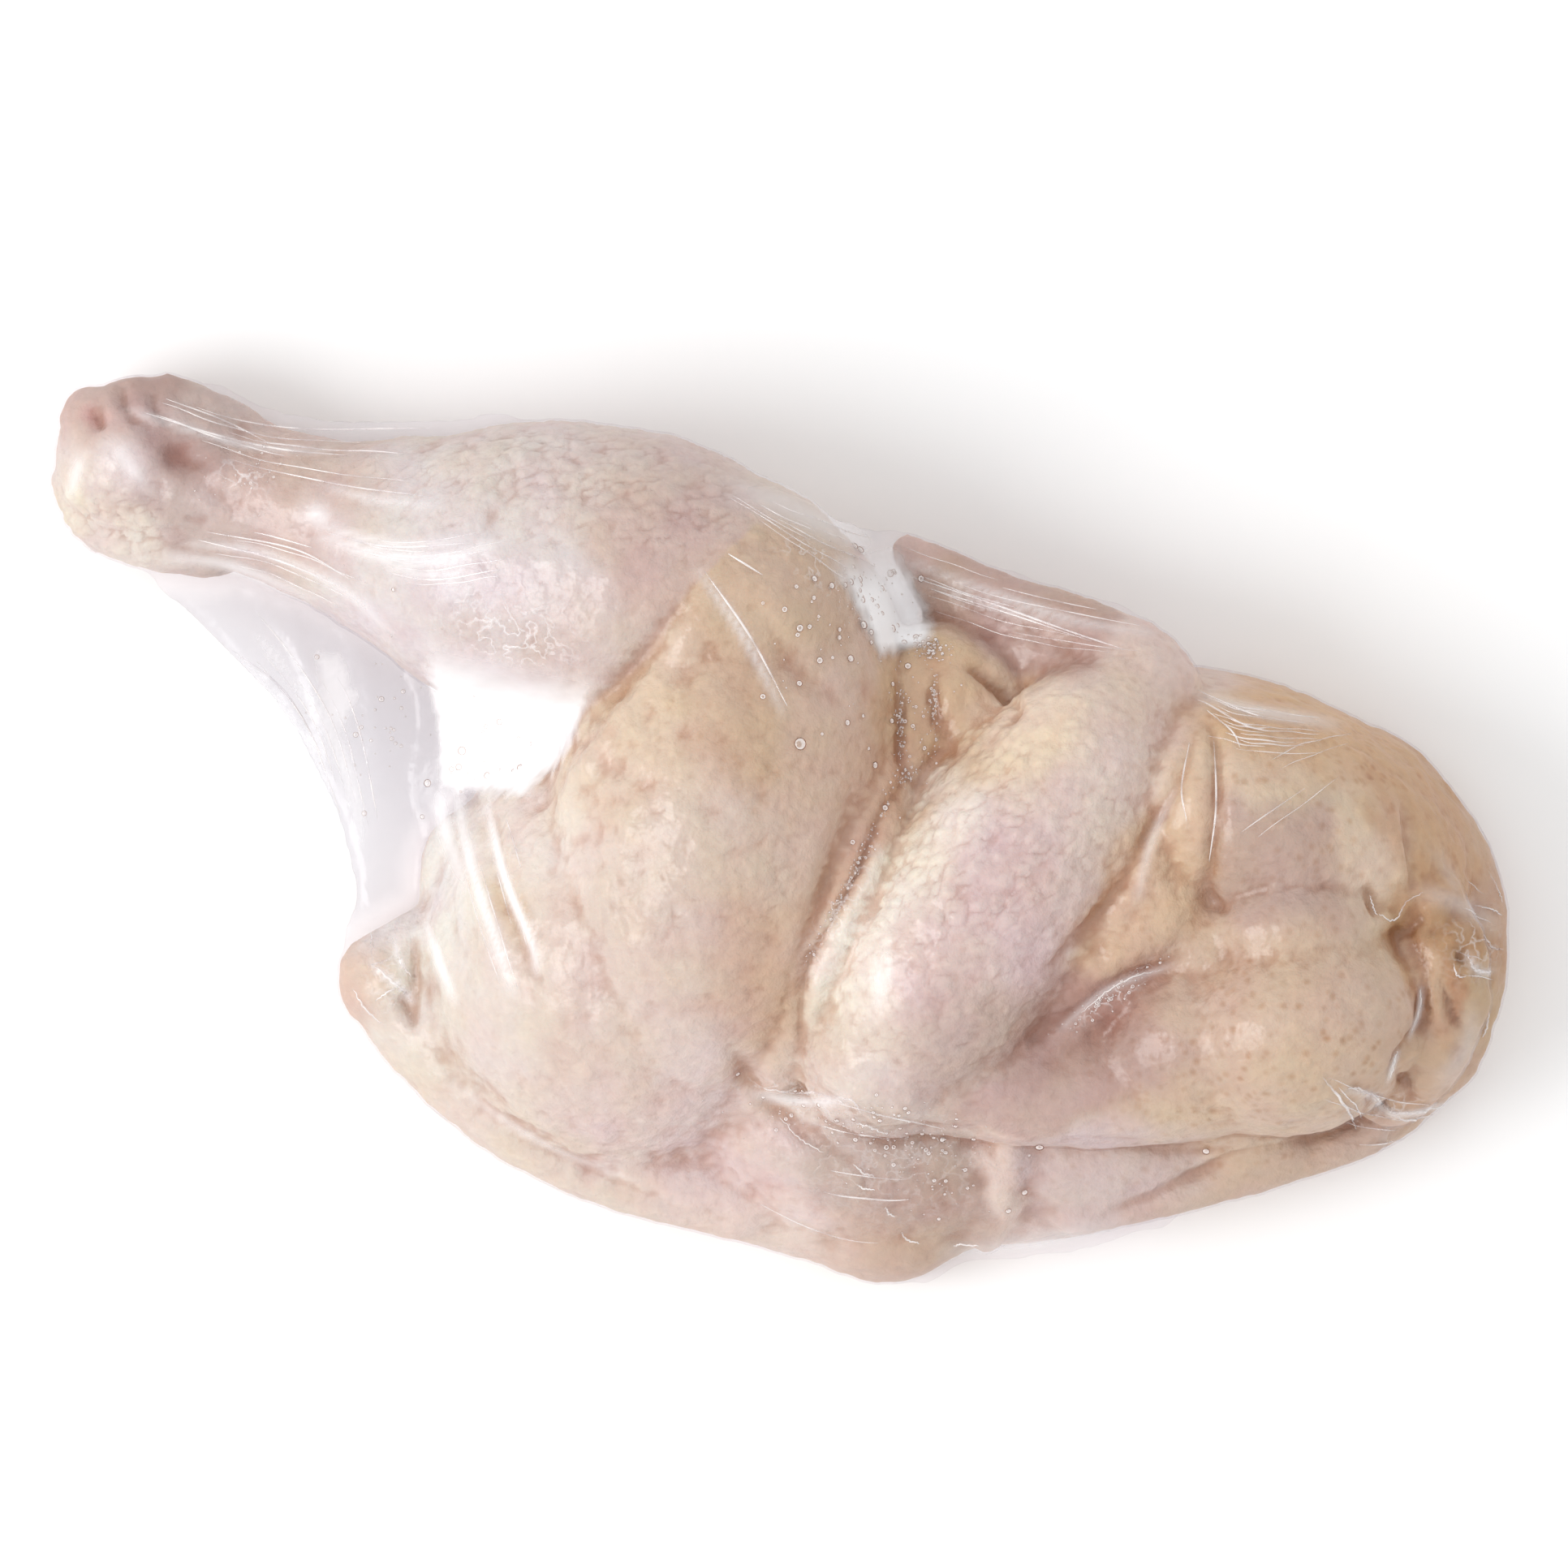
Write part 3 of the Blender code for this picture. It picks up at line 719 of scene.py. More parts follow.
# Where the film is crumpled into fine creases: middle, half lengths, turn, amount
CRUMPLED = {
    "back": ((14, -41), (14, 7.4), -10, 0.28),
    "elbow_foot": ((1.6, -33.2), (6.4, 1.5), -12, 1),
    "calf_low": ((-33, 23.4), (7.6, 5.2), -25, 0.8),
    "throat": ((85, -14), (3.6, 4.4), 0, 0.55),
    "neck_foot": ((77, -34.6), (7, 1.8), 0, 0.55),
    "knee_web": ((4.4, 32.6), (7, 2.6), -42, 0.6),
    "shank": ((-66.5, 43.6), (3, 1.6), -20, 0.8),
    "gap": ((7.4, -9), (2, 8), -26, 0.5),
    "tail": ((-48.4, -18), (3, 4.4), 0, 0.45),
    "fold": ((41, -20), (6.4, 1.1), 36, 0.7),
}


def inside(points, outline):
    """How far each point lies inside the outline in plan, in mm, and below zero outside it."""
    corners = np.array(outline)
    away, _ = path_distance(points, np.vstack([corners, corners[:1]]))
    x, y = points[:, 0], points[:, 1]
    odd = np.zeros(len(points), dtype=bool)
    for (x0, y0), (x1, y1) in zip(corners, np.roll(corners, -1, axis=0)):
        crosses = (y0 > y) != (y1 > y)
        odd ^= crosses & (x < (x1 - x0) * (y - y0) / (y1 - y0 if y1 != y0 else 1e-9) + x0)
    return np.where(odd, away, -away)


def tree_of(obj):
    """A search tree of the object's faces, in mm."""
    mesh = obj.data
    corners = [vertex.co / MM for vertex in mesh.vertices]
    return BVHTree.FromPolygons(corners, [face.vertices for face in mesh.polygons])


def draw_tight(film, hen, rounds=4):
    """Shrinks the film like a stretched skin, and keeps it outside the hen."""
    for turn in range(rounds):
        smooth = film.modifiers.new(f"pull_{turn}", "SMOOTH")
        smooth.factor = 0.5
        smooth.iterations = 5
        keep = film.modifiers.new(f"keep_out_{turn}", "SHRINKWRAP")
        keep.target = hen
        keep.wrap_method = "NEAREST_SURFACEPOINT"
        keep.wrap_mode = "OUTSIDE"
        keep.offset = FILM_GAP * MM
    return mesh_copy(film, film.name)


def shrink_film(hen):
    """The film over the hen and its webs. Painted on it: its haze and painted highlights, where it is
    crumpled, and how far it stands off, which sets a painted grey shade.
    """
    copy = object_of("film_core", hen.data.copy())
    webs = [web(name, w["outline"], w["from"], w["to"]) for name, w in WEBS.items()]
    film = melted("shrink_film", [copy, *webs], FILM_VOXEL, smoothing=1, regain=0.3)
    film = draw_tight(film, hen)
    skin = Skin(film)
    sculpt(skin, FILM_STROKES)
    under = tree_of(hen)
    apart = np.array([under.find_nearest(Vector(p))[3] for p in skin.points])
    haze_and_highlight = HAZE * ((apart - HAZE_FROM) / (HAZE_FULL - HAZE_FROM)).clip(0.0, 1.0)
    # Painted highlights: white strokes that stand in for the film's glints and streaks
    for path, width, amount in HIGHLIGHT_STROKES.values():
        away, along = path_distance(skin.points, curved(path))
        fade = np.sin(np.pi * (0.03 + 0.94 * along)).clip(0.0, 1.0) ** 0.5
        haze_and_highlight = np.maximum(haze_and_highlight, amount * fade * np.exp(-(away / width) ** 2))
    # Painted glare: whole areas turned white where glare and the bright table behind show
    ragged = skin.points + RAGGED * wander(skin.points, 0.6)
    for outline, faded, full, amount in GLARE_AREAS.values():
        along = np.array(full) - faded
        grown = ((skin.points[:, :2] - faded) @ along / (along @ along)).clip(0.0, 1.0)
        edge = (inside(ragged, outline) / EDGE_WIDTH + 0.5).clip(0.0, 1.0)
        haze_and_highlight = np.maximum(haze_and_highlight, amount * edge * smooth_step(grown))
    upper = skin.normals[:, 2] > 0.0
    skin.paint("haze_and_highlight", haze_and_highlight * upper)
    skin.paint("crumpled", strongest(CRUMPLED, skin.points, 1.0) * upper)
    skin.paint("standing_off_shade", ((apart - SHADE_GREY_FROM) / (SHADE_GREY_FULL - SHADE_GREY_FROM)).clip(0.0, 1.0))
    cut_flat(film, FILM_BOTTOM)
    return film


# Colours, as the photograph shows them lit

def srgb(red, green, blue):
    """A colour of 0 to 255 as linear light."""
    parts = np.array([red, green, blue]) / 255.0
    return np.where(parts <= 0.04045, parts / 12.92, ((parts + 0.055) / 1.055) ** 2.4)


# Region: middle in plan, half lengths, turn in degrees, colour
TONES = {
    "hock_fat": ((-86, 41), (6, 6), 0, (210, 198, 191)),
    "hock_yellow": ((-88.4, 40.4), (2.4, 4.6), -15, (216, 208, 180)),
    "hock_low": ((-80, 35.6), (5, 2.4), -20, (216, 209, 196)),
    "hock_red": ((-84.7, 50.8), (1.5, 1.9), -20, (213, 163, 161)),
    "hock_cartilage": ((-84.5, 51), (4.5, 3.6), 0, (195, 172, 162)),
    "hock_cartilage_above": ((-79.5, 53.8), (4.5, 3), 0, (174, 148, 141)),
    "hock_side": ((-73, 50), (6, 4), -15, (188, 170, 163)),
    # Painted shade: the dark hollow beside the hock, darkened in the skin's tone
    "shank_bruise": ((-72.6, 45), (5, 3.4), 0, (160, 132, 124)),
    "shank_low": ((-72, 36.5), (9, 4.5), -20, (185, 168, 163)),
    "shank": ((-60, 41), (10, 8), 0, (198, 177, 166)),
    "calf": ((-42, 36), (14, 12), -10, (210, 204, 200)),
    "calf_top": ((-30, 45), (20, 7), -5, (209, 198, 189)),
    "calf_right": ((-14, 38), (10, 9), -40, (195, 173, 162)),
    "calf_low": ((-36, 24), (12, 8), -20, (204, 192, 190)),
    "knee": ((2, 30), (8, 9), 0, (196, 173, 149)),
    "calf_deep": ((-27, 22), (7, 6), 0, (199, 182, 170)),
    "thigh_fat": ((-17, 12), (12, 9), 55, (209, 190, 168)),
    "thigh_tan": ((-6, 14), (8, 10), 0, (189, 162, 133)),
    "thigh_right": ((5, 8), (6, 14), 0, (202, 178, 158)),
    "thigh_fat_low": ((-29, -3), (8, 8), 60, (219, 208, 196)),
    "thigh_middle": ((-12, -6), (12, 12), 0, (202, 186, 171)),
    "thigh_pink": ((-22, -22), (14, 10), 0, (207, 191, 179)),
    "thigh_foot": ((-3, -18), (6, 12), 10, (198, 168, 142)),
    "gap": ((8.6, -4), (2.6, 14), -24, (197, 163, 139)),
    "body_left": ((-44, -10), (6, 14), 0, (222, 218, 211)),
    "body_low": ((-38, -22), (10, 10), 0, (211, 201, 186)),
    "body_mauve": ((-12, -35), (12, 7), -20, (211, 193, 186)),
    "body_fold": ((-33.4, -11.6), (6.4, 1.4), -67, (208, 187, 159)),
    "tail": ((-50, -19), (4, 5), 0, (203, 178, 159)),
    "rim": ((-34.6, -39.8), (16, 4), -30, (212, 198, 182)),
    "rim_right": ((-2, -49.5), (12, 4), -14, (213, 195, 185)),
    "back_point": ((13, -52), (7, 5), 0, (191, 166, 146)),
    "back_grey": ((18, -46), (6, 5), 0, (179, 155, 142)),
    "back_pink": ((10, -39), (9, 4), 0, (186, 169, 158)),
    "fat_strip": ((26.8, -45), (2.4, 7), 8, (215, 196, 183)),
    "blade": ((40, -43), (10, 4.6), 8, (199, 181, 175)),
    "back_strip": ((60, -42), (14, 3), 16, (193, 170, 151)),
    "forearm_foot": ((29.6, -33.8), (6.4, 2.4), 8, (188, 162, 153)),
    "elbow": ((8, -28), (9, 8), 0, (213, 200, 188)),
    "forearm_left": ((12, -10), (5, 14), -35, (234, 229, 215)),
    "forearm_pink": ((24, -13), (8, 13), -30, (208, 188, 183)),
    "forearm_high": ((36, 4), (8, 8), -30, (214, 199, 187)),
    "forearm_cream": ((30, 12), (7, 5), -30, (223, 205, 180)),
    "forearm_low": ((22, -26), (8, 5), 30, (187, 167, 152)),
    "wrist": ((46, 18), (5, 6), 0, (211, 192, 178)),
    "hand": ((27, 26.5), (10, 4), -26, (184, 158, 145)),
    "hand_tip": ((14.6, 34), (2.6, 2.6), 0, (202, 176, 168)),
    "notch": ((18.5, 14), (6, 6), 0, (200, 173, 142)),
    "patagium": ((46, -6), (5, 12), -20, (207, 181, 153)),
    # Painted shade: the deep fold under the wing darkened in the skin's tone
    "fold_deep": ((40, -21.5), (8, 3.4), 35, (170, 134, 122)),
    "upper_arm_pink": ((40, -29), (9, 5), 5, (175, 148, 137)),
    "shoulder": ((58, -20), (11, 8), 0, (199, 176, 154)),
    "shoulder_low": ((56, -33), (13, 5), 8, (197, 175, 151)),
    "breast_tan": ((60, 7.4), (8, 4), -8, (209, 190, 164)),
    "breast_mauve": ((62, -3.6), (9, 7), 0, (183, 159, 145)),
    "breast_top": ((66, 10), (12, 4), -10, (201, 166, 127)),
    "breast_front": ((80, 0), (6, 12), 15, (189, 153, 116)),
    "breast_pale": ((72, -3), (4, 6), 0, (217, 199, 172)),
    "neck_fold": ((83.4, -12.4), (4.6, 5), 0, (171, 135, 98)),
    "neck_side": ((85.2, -21.4), (2.8, 5), 0, (186, 159, 126)),
    "neck_lobe": ((79.6, -22.4), (1.6, 4), 20, (198, 168, 136)),
    # Painted shade: the hollow between the neck's lobes darkened in the skin's tone
    "neck_hollow": ((82.2, -21.4), (1, 3), 22, (177, 135, 101)),
    "breast_rim": ((86.8, -4), (1.8, 10), 8, (192, 164, 138)),
    "neck_low": ((80, -31), (6, 5), 0, (191, 163, 139)),
}
UNDERSIDE = (214, 188, 172)

# Where the skin stands in small bumps, and how much
BUMPY = {
    "forearm": ((24, -6), (14.6, 26), -32, 0.95),
    "calf_top": ((-22, 42), (26, 9), -8, 0.75),
    "calf": ((-34, 30), (18, 10), -10, 0.4),
    "hock": ((-83, 39.4), (8, 6), -10, 1),
    "thigh": ((-10, -2), (18, 32), 10, 0.4),
    "shoulder": ((58, -24), (18, 14), 0, 0.35),
    "breast": ((66, 2), (20, 14), -10, 0.3),
    "patagium": ((44, -6), (7, 16), -20, 0.5),
    "rim": ((-20, -38), (24, 9), -24, 0.35),
}

# Where the feather pores show as brown dots, and how much
DOTTED = {
    "shoulder": ((58, -26), (18, 12), 0, 1),
    "breast": ((68, 4), (18, 14), -10, 0.8),
    "neck": ((82, -16), (6, 16), 0, 0.8),
    "thigh": ((-6, 14), (10, 12), 0, 0.4),
    "back": ((40, -42), (24, 4), 8, 0.5),
}

# Where the fat under the skin is lumpy, and how much
LUMPY = {
    "hock_fat": ((-82, 39), (7, 5), -10, 0.5),
    "shank": ((-72, 45), (9, 8), 0, 0.9),
    "calf_top": ((-34, 44), (22, 8), 0, 0.5),
    "thigh_fat": ((-20, 8), (12, 10), 50, 1),
    "thigh_low": ((-18, -22), (16, 12), 0, 0.5),
    "notch": ((18.5, 14), (7, 7), 0, 1),
    "back": ((10, -42), (16, 8), 0, 0.9),
    "rim": ((-34, -38), (22, 6), -28, 0.6),
    "shoulder_low": ((54, -32), (14, 6), 8, 0.3),
    "breast": ((66, 2), (16, 12), 0, 0.25),
    "neck": ((80, -22), (7, 14), 0, 1),
}

# The edge of the thigh's yellow fat: the calf's tones end on one side of it, the thigh's on the other
FAT_EDGE = [(-4, 38), (-10.4, 30.1), (-18.4, 19.1), (-24.4, 14.1), (-26.6, 9.1), (-34, 5), (-44, 3.6)]
FAT_EDGE_WIDTH = 1.6
LEG_SIDE = ("calf", "shank", "hock")
THIGH_SIDE = ("thigh", "body")

REGION_DRIFT = 3.2          # how far the regions' borders wander, in mm
FAT_EDGE_DRIFT = 0.8
REGION_POWER = 1.5          # the higher, the sharper the borders

# Painted shade in fine and broad creases: how much they count, the rounds of blurring that find them, how
# deep a full one is
CREASE_SHADE_SIZES = [(0.4, 8, 0.12), (0.6, 90, 0.9)]

# How the skin's relief changes its colour, for red, green and blue: partly its own darker furrows, paler fat
# and mottling, partly painted shade in the low places and painted light on the raised tops
FURROW_SHADE_TINT = np.array([0.88, 0.76, 0.78])
FLUSH_AND_SHADE_TINT = np.array([0.90, 0.76, 0.76])
PALE_AND_LIT_GAIN = np.array([0.08, 0.09, 0.06])
HUE_SWING = np.array([0.00, 0.012, -0.06])


def beyond_fat_edge(points):
    """0 on the calf's side of the fat's edge, 1 on the thigh's."""
    edge = curved(FAT_EDGE)
    reached = np.interp(points[:, 0], edge[::-1, 0], edge[::-1, 1])
    return ((reached - points[:, 1]) / FAT_EDGE_WIDTH + 0.5).clip(0.0, 1.0)


def paint_hen(hen):
    """Paints onto the mesh, for the material: the skin's tone, with painted shade in its low places and
    painted light on its raised tops; its pores' strength; and its creases, which carry painted shade.
    """
    skin = Skin(hen)
    drift = wander(skin.points, 0.09) + 0.5 * wander(skin.points, 0.28)
    spots = skin.points + REGION_DRIFT * drift
    total = np.full(len(spots), 1e-4)
    mixed = total[:, None] * srgb(*UNDERSIDE)
    beyond = beyond_fat_edge(skin.points + FAT_EDGE_DRIFT * drift)
    for name, (middle, halves, turn, colour) in TONES.items():
        weight = share(spots, middle, halves, turn) ** REGION_POWER
        if name.startswith(LEG_SIDE):
            weight = weight * (1.0 - beyond)
        if name.startswith(THIGH_SIDE):
            weight = weight * beyond
        total = total + weight
        mixed = mixed + weight[:, None] * srgb(*colour)
    below = (0.5 - skin.normals[:, 2] * 1.5).clip(0.0, 1.0)[:, None] * 0.6
    tone = mixed / total[:, None] * (1.0 - below) + below * srgb(*UNDERSIDE)
    swelling = skin.read("swelling")
    lumps = skin.read("lumps")
    bumpy = strongest(BUMPY, spots)
    lumpy = strongest(LUMPY, spots)
    # Furrows between the swellings darkened: partly the skin's own colour, partly painted shade
    furrow_shade = (bumpy * (1.0 - swelling) * 0.40)[:, None]
    tone = tone * (1.0 - furrow_shade * (1.0 - FURROW_SHADE_TINT))
    # Raised swellings and lumps made paler: partly the fat's own tone, partly painted light on their tops
    pale = bumpy * swelling * 0.25 + (0.16 + 0.3 * lumpy) * lumps.clip(0.0, 1.0)
    pale = pale[:, None].clip(0.0, 1.0)
    tone = tone * (1.0 + pale * PALE_AND_LIT_GAIN)
    swing = fractal(skin.points + 40.0, 9.0, 3)[:, None].clip(-1.0, 1.0)
    tone = tone * (1.0 + swing * HUE_SWING)
    # Sunken places between lumps flushed darker: partly mottling, partly painted shade
    flush_and_shade = ((0.3 + 0.4 * lumpy) * (-lumps).clip(0.0, 1.0))[:, None].clip(0.0, 1.0)
    tone = tone * (1.0 - flush_and_shade * (1.0 - FLUSH_AND_SHADE_TINT))
    skin.paint("dotted", 0.15 + strongest(DOTTED, spots))
    skin.paint("skin_tone", tone.clip(0.0, 0.95))
    # Painted shade: how deep each point lies in a crease, which darkens the skin there in the material
    crease = np.zeros(len(spots))
    for amount, rounds, depth in CREASE_SHADE_SIZES:
        crease += amount * (skin.hollow(rounds) / depth).clip(-1.0, 1.0)
    skin.paint("crease", crease.clip(-1.0, 1.0))


# Materials

SHEET_TINT = (0.98, 0.97, 0.98, 1.0)
# White of doubled film on creases and gathers, partly painted highlight there, and the painted glint ring on
# the bubbles
MILK_AND_GLINT_WHITE = (0.98, 0.94, 0.91, 1.0)


class Nodes:
    """Short calls for a material's node tree. An input takes a value or another node's output."""

    def __init__(self, name):
        self.material = bpy.data.materials.new(name)
        self.material.use_nodes = True
        self.tree = self.material.node_tree
        self.tree.nodes.clear()

    def add(self, kind, inputs, **settings):
        node = self.tree.nodes.new("ShaderNode" + kind)
        for key, value in settings.items():
            setattr(node, key, value)
        for name, value in inputs.items():
            if isinstance(value, (int, float, tuple)):
                node.inputs[name].default_value = value
            else:
                self.tree.links.new(value, node.inputs[name])
        return node

    def shader(self, kind, **inputs):
        return self.add("Bsdf" + kind, inputs).outputs[0]

    def place(self):
        return self.add("TexCoord", {}).outputs["Object"]

    def amount(self, name):
        return self.add("Attribute", {}, attribute_name=name).outputs["Fac"]

    def facing(self):
        return self.add("LayerWeight", {"Blend": 0.5}).outputs["Facing"]

    def clouds(self, place, scale, detail):
        return self.add("TexNoise", {"Vector": place, "Scale": scale, "Detail": detail}).outputs["Fac"]

    def bump(self, height, strength, distance):
        return self.add("Bump", {"Height": height, "Strength": strength, "Distance": distance}).outputs[0]

    def maths(self, operation, *values, clamp=False):
        return self.add("Math", dict(enumerate(values)), operation=operation, use_clamp=clamp).outputs[0]

    def mix(self, factor, first, second, blend="MIX"):
        inputs = {0: factor, 6: first, 7: second}
        return self.add("Mix", inputs, data_type="RGBA", blend_type=blend, clamp_factor=True).outputs[2]

    def tinted(self, amount, colour, tint):
        """The colour multiplied by the tint, by the amount."""
        return self.mix(amount, colour, self.mix(1.0, colour, (*tint, 1.0), "MULTIPLY"))

    def blend(self, factor, first, second):
        return self.add("MixShader", {0: factor, 1: first, 2: second}).outputs[0]

    def ramp(self, value, stops):
        node = self.add("ValToRGB", {0: value})
        ramp = node.color_ramp
        while len(ramp.elements) < len(stops):
            ramp.elements.new(0.5)
        for element, (place, level) in zip(ramp.elements, stops):
            element.position = place
            element.color = (level, level, level, 1.0)
        return node.outputs[0]

    def done(self, surface):
        self.add("OutputMaterial", {"Surface": surface})
        return self.material


def wandering_place(n, amount=0.0011, scale=260.0):
    """Object coordinates shifted about, so that no pattern runs straight."""
    place = n.place()
    swirl = n.add("TexNoise", {"Vector": place, "Scale": scale, "Detail": 2.0}).outputs["Color"]
    return n.add("VectorMath", {0: swirl, 1: (amount,) * 3, 2: place}, operation="MULTIPLY_ADD").outputs[0]


def hen_material():
    """Skin with blotches, paler clouds, feather pores, and painted brown shade in its creases."""
    n = Nodes("hen_skin")
    bent = wandering_place(n)
    tone = n.add("Attribute", {}, attribute_name="skin_tone").outputs["Color"]
    blotch = n.ramp(n.clouds(bent, 170.0, 4.0), [(0.38, 0.0), (0.64, 1.0)])
    tone = n.tinted(n.maths("MULTIPLY", blotch, 0.30), tone, (0.97, 0.84, 0.82))
    fine = n.clouds(bent, 780.0, 3.0)
    cloud = n.ramp(fine, [(0.40, 0.0), (0.68, 1.0)])
    tone = n.tinted(n.maths("MULTIPLY", cloud, 0.45), tone, (1.14, 1.13, 1.10))

    pores = n.add("TexVoronoi", {"Vector": bent, "Scale": 620.0}).outputs["Distance"]
    dot = n.ramp(pores, [(0.10, 0.66), (0.42, 0.0)])
    dot = n.maths("MULTIPLY", dot, n.amount("dotted"), clamp=True)
    dot = n.maths("MULTIPLY", dot, n.maths("MULTIPLY_ADD", blotch, 0.9, 0.4))
    tone = n.tinted(dot, tone, (0.76, 0.62, 0.50))
    # Painted shade in the creases: the skin is darkened and browned by how deep it lies in them
    tone = n.tinted(n.maths("MULTIPLY", n.amount("crease"), 0.9, clamp=True), tone, (0.74, 0.58, 0.50))
    skin = n.add("BsdfPrincipled", {
        "Base Color": tone,
        "Normal": n.bump(fine, 0.7, 0.0005),
        "Roughness": 0.5,
        "IOR": 1.28,
        "Subsurface Weight": 0.12,
        "Subsurface Radius": (1.0, 0.45, 0.30),
        "Subsurface Scale": 0.0018,
    })
    return n.done(skin.outputs[0])


def clear_sheet(n, tint, white, amount, gloss, least, most):
    """Clear film: see-through, white by the amount, and glossy more and more edge-on, from least to most.

    Lamps shine straight through it.
    """
    clear = n.shader("Transparent", Color=tint)
    shine = n.maths("MULTIPLY_ADD", n.maths("POWER", n.facing(), 4.0), most - least, least)
    body = n.blend(amount, clear, n.shader("Diffuse", Color=white))
    shadow_ray = n.add("LightPath", {}).outputs["Is Shadow Ray"]
    return n.done(n.blend(shadow_ray, n.blend(shine, body, gloss), clear))


def film_material():
    """Film over the hen: rippled and crumpled, white where it is hazy and where highlights are painted, with
    painted grey shade where it stands off.
    """
    n = Nodes("shrink_film")
    ripple = n.clouds(wandering_place(n, 0.0015, 180.0), 430.0, 2.0)
    off_middle = n.maths("ABSOLUTE", n.maths("SUBTRACT", ripple, 0.5))
    line = n.maths("SUBTRACT", 1.0, n.maths("MULTIPLY", off_middle, 24.0), clamp=True)
    crumple = n.maths("MULTIPLY", line, n.amount("crumpled"))
    relief = n.maths("ADD", ripple, n.maths("MULTIPLY", crumple, 0.5))
    # Painted shade: the see-through colour turns grey where the film stands off the skin
    tint = n.mix(n.amount("standing_off_shade"), (0.985, 0.975, 0.985, 1.0), (0.90, 0.893, 0.91, 1.0))
    gloss = n.shader("Glossy", Roughness=0.20, Normal=n.bump(relief, 0.5, 0.0006))
    # Painted glints: the crumple lines are painted white besides being bumped, and the haze carries the
    # painted highlights
    white = n.maths("MAXIMUM", n.amount("haze_and_highlight"), n.maths("MULTIPLY", crumple, 0.6))
    return clear_sheet(n, tint, (0.97, 0.955, 0.96, 1.0), white, gloss, 0.032, 0.16)


def crease_material(name, least_white, most_white):
    """The film where it is doubled into a fine crease: clear, a little white in places, and glossy. The white
    is partly the doubled film's own and partly painted highlight.
    """
    n = Nodes(name)
    broken = n.ramp(n.clouds(n.place(), 240.0, 2.0), [(0.40, least_white), (0.62, most_white)])
    return clear_sheet(n, SHEET_TINT, MILK_AND_GLINT_WHITE, broken, n.shader("Glossy", Roughness=0.12), 0.10, 0.3)


def bubble_material():
    """A clear dome with a painted white ring of reflection inside a thin rim of painted shade, both set by
    how edge-on it faces.
    """
    n = Nodes("juice_bubbles")
    # Painted shade: the see-through colour darkens towards the dome's edge
    rim = n.ramp(n.facing(), [(0.34, 0.0), (0.56, 1.0)])
    tint = n.mix(rim, (0.99, 0.98, 0.98, 1.0), (0.66, 0.54, 0.49, 1.0))
    # Painted reflection: a diffuse white ring where the dome turns edge-on
    ring = n.ramp(n.facing(), [(0.04, 0.03), (0.15, 0.60), (0.34, 0.50), (0.48, 0.0)])
    return clear_sheet(n, tint, MILK_AND_GLINT_WHITE, ring, n.shader("Glossy", Roughness=0.08), 0.06, 0.12)


def table_material():
    n = Nodes("pale_table")
    pale = n.mix(n.clouds(n.place(), 8.0, 3.0), (0.96, 0.96, 0.96, 1.0), (0.98, 0.98, 0.98, 1.0))
    return n.done(n.add("BsdfPrincipled", {"Base Color": pale, "Roughness": 0.9}).outputs[0])


# The film's creases and bubbles

# Fine creases: paths in plan, radius
CREASES = {
    "calf_a": ([(-56, 36.4), (-48, 34.6), (-38, 35)], 0.16),
    "calf_b": ([(-55, 35), (-46, 33), (-36, 34)], 0.14),
    "calf_c": ([(-72, 35.6), (-62, 33), (-54, 29.6)], 0.16),
    "calf_d": ([(-71, 36.6), (-60, 34.4), (-53, 30.6)], 0.12),
    "hock_a": ([(-79, 51.4), (-70, 48.6), (-62, 46.8), (-54, 46)], 0.14),
    "hock_b": ([(-76, 53), (-69, 50.4), (-63, 47.4)], 0.12),
    "tail_a": ([(-65, 20.6), (-60, 14.6), (-57, 9)], 0.14),
    "tail_b": ([(-68, 22), (-62, 17.4), (-58.4, 12)], 0.12),
    "knee_a": ([(-9.6, 31.6), (-4, 23.6), (0.6, 15)], 0.16),
    "knee_b": ([(-6.6, 33.6), (-2.4, 31)], 0.14),
    "wing_a": ([(16, 31), (26, 27.6), (36, 24), (42, 22)], 0.16),
    "wing_b": ([(18, 29.6), (28, 26.4), (38, 23)], 0.12),
    "wrist_a": ([(51, 17), (58, 14), (64, 13)], 0.12),
    "wrist_b": ([(51.6, 15.6), (57, 12.6), (60, 12.4)], 0.12),
    "wrist_c": ([(52, 14.6), (55, 12), (56, 10)], 0.12),
    "web_a": ([(52.8, 11), (53, 3), (52.2, -4)], 0.14),
    "web_b": ([(49.8, 10.6), (48.8, 5), (49.4, 1)], 0.14),
}

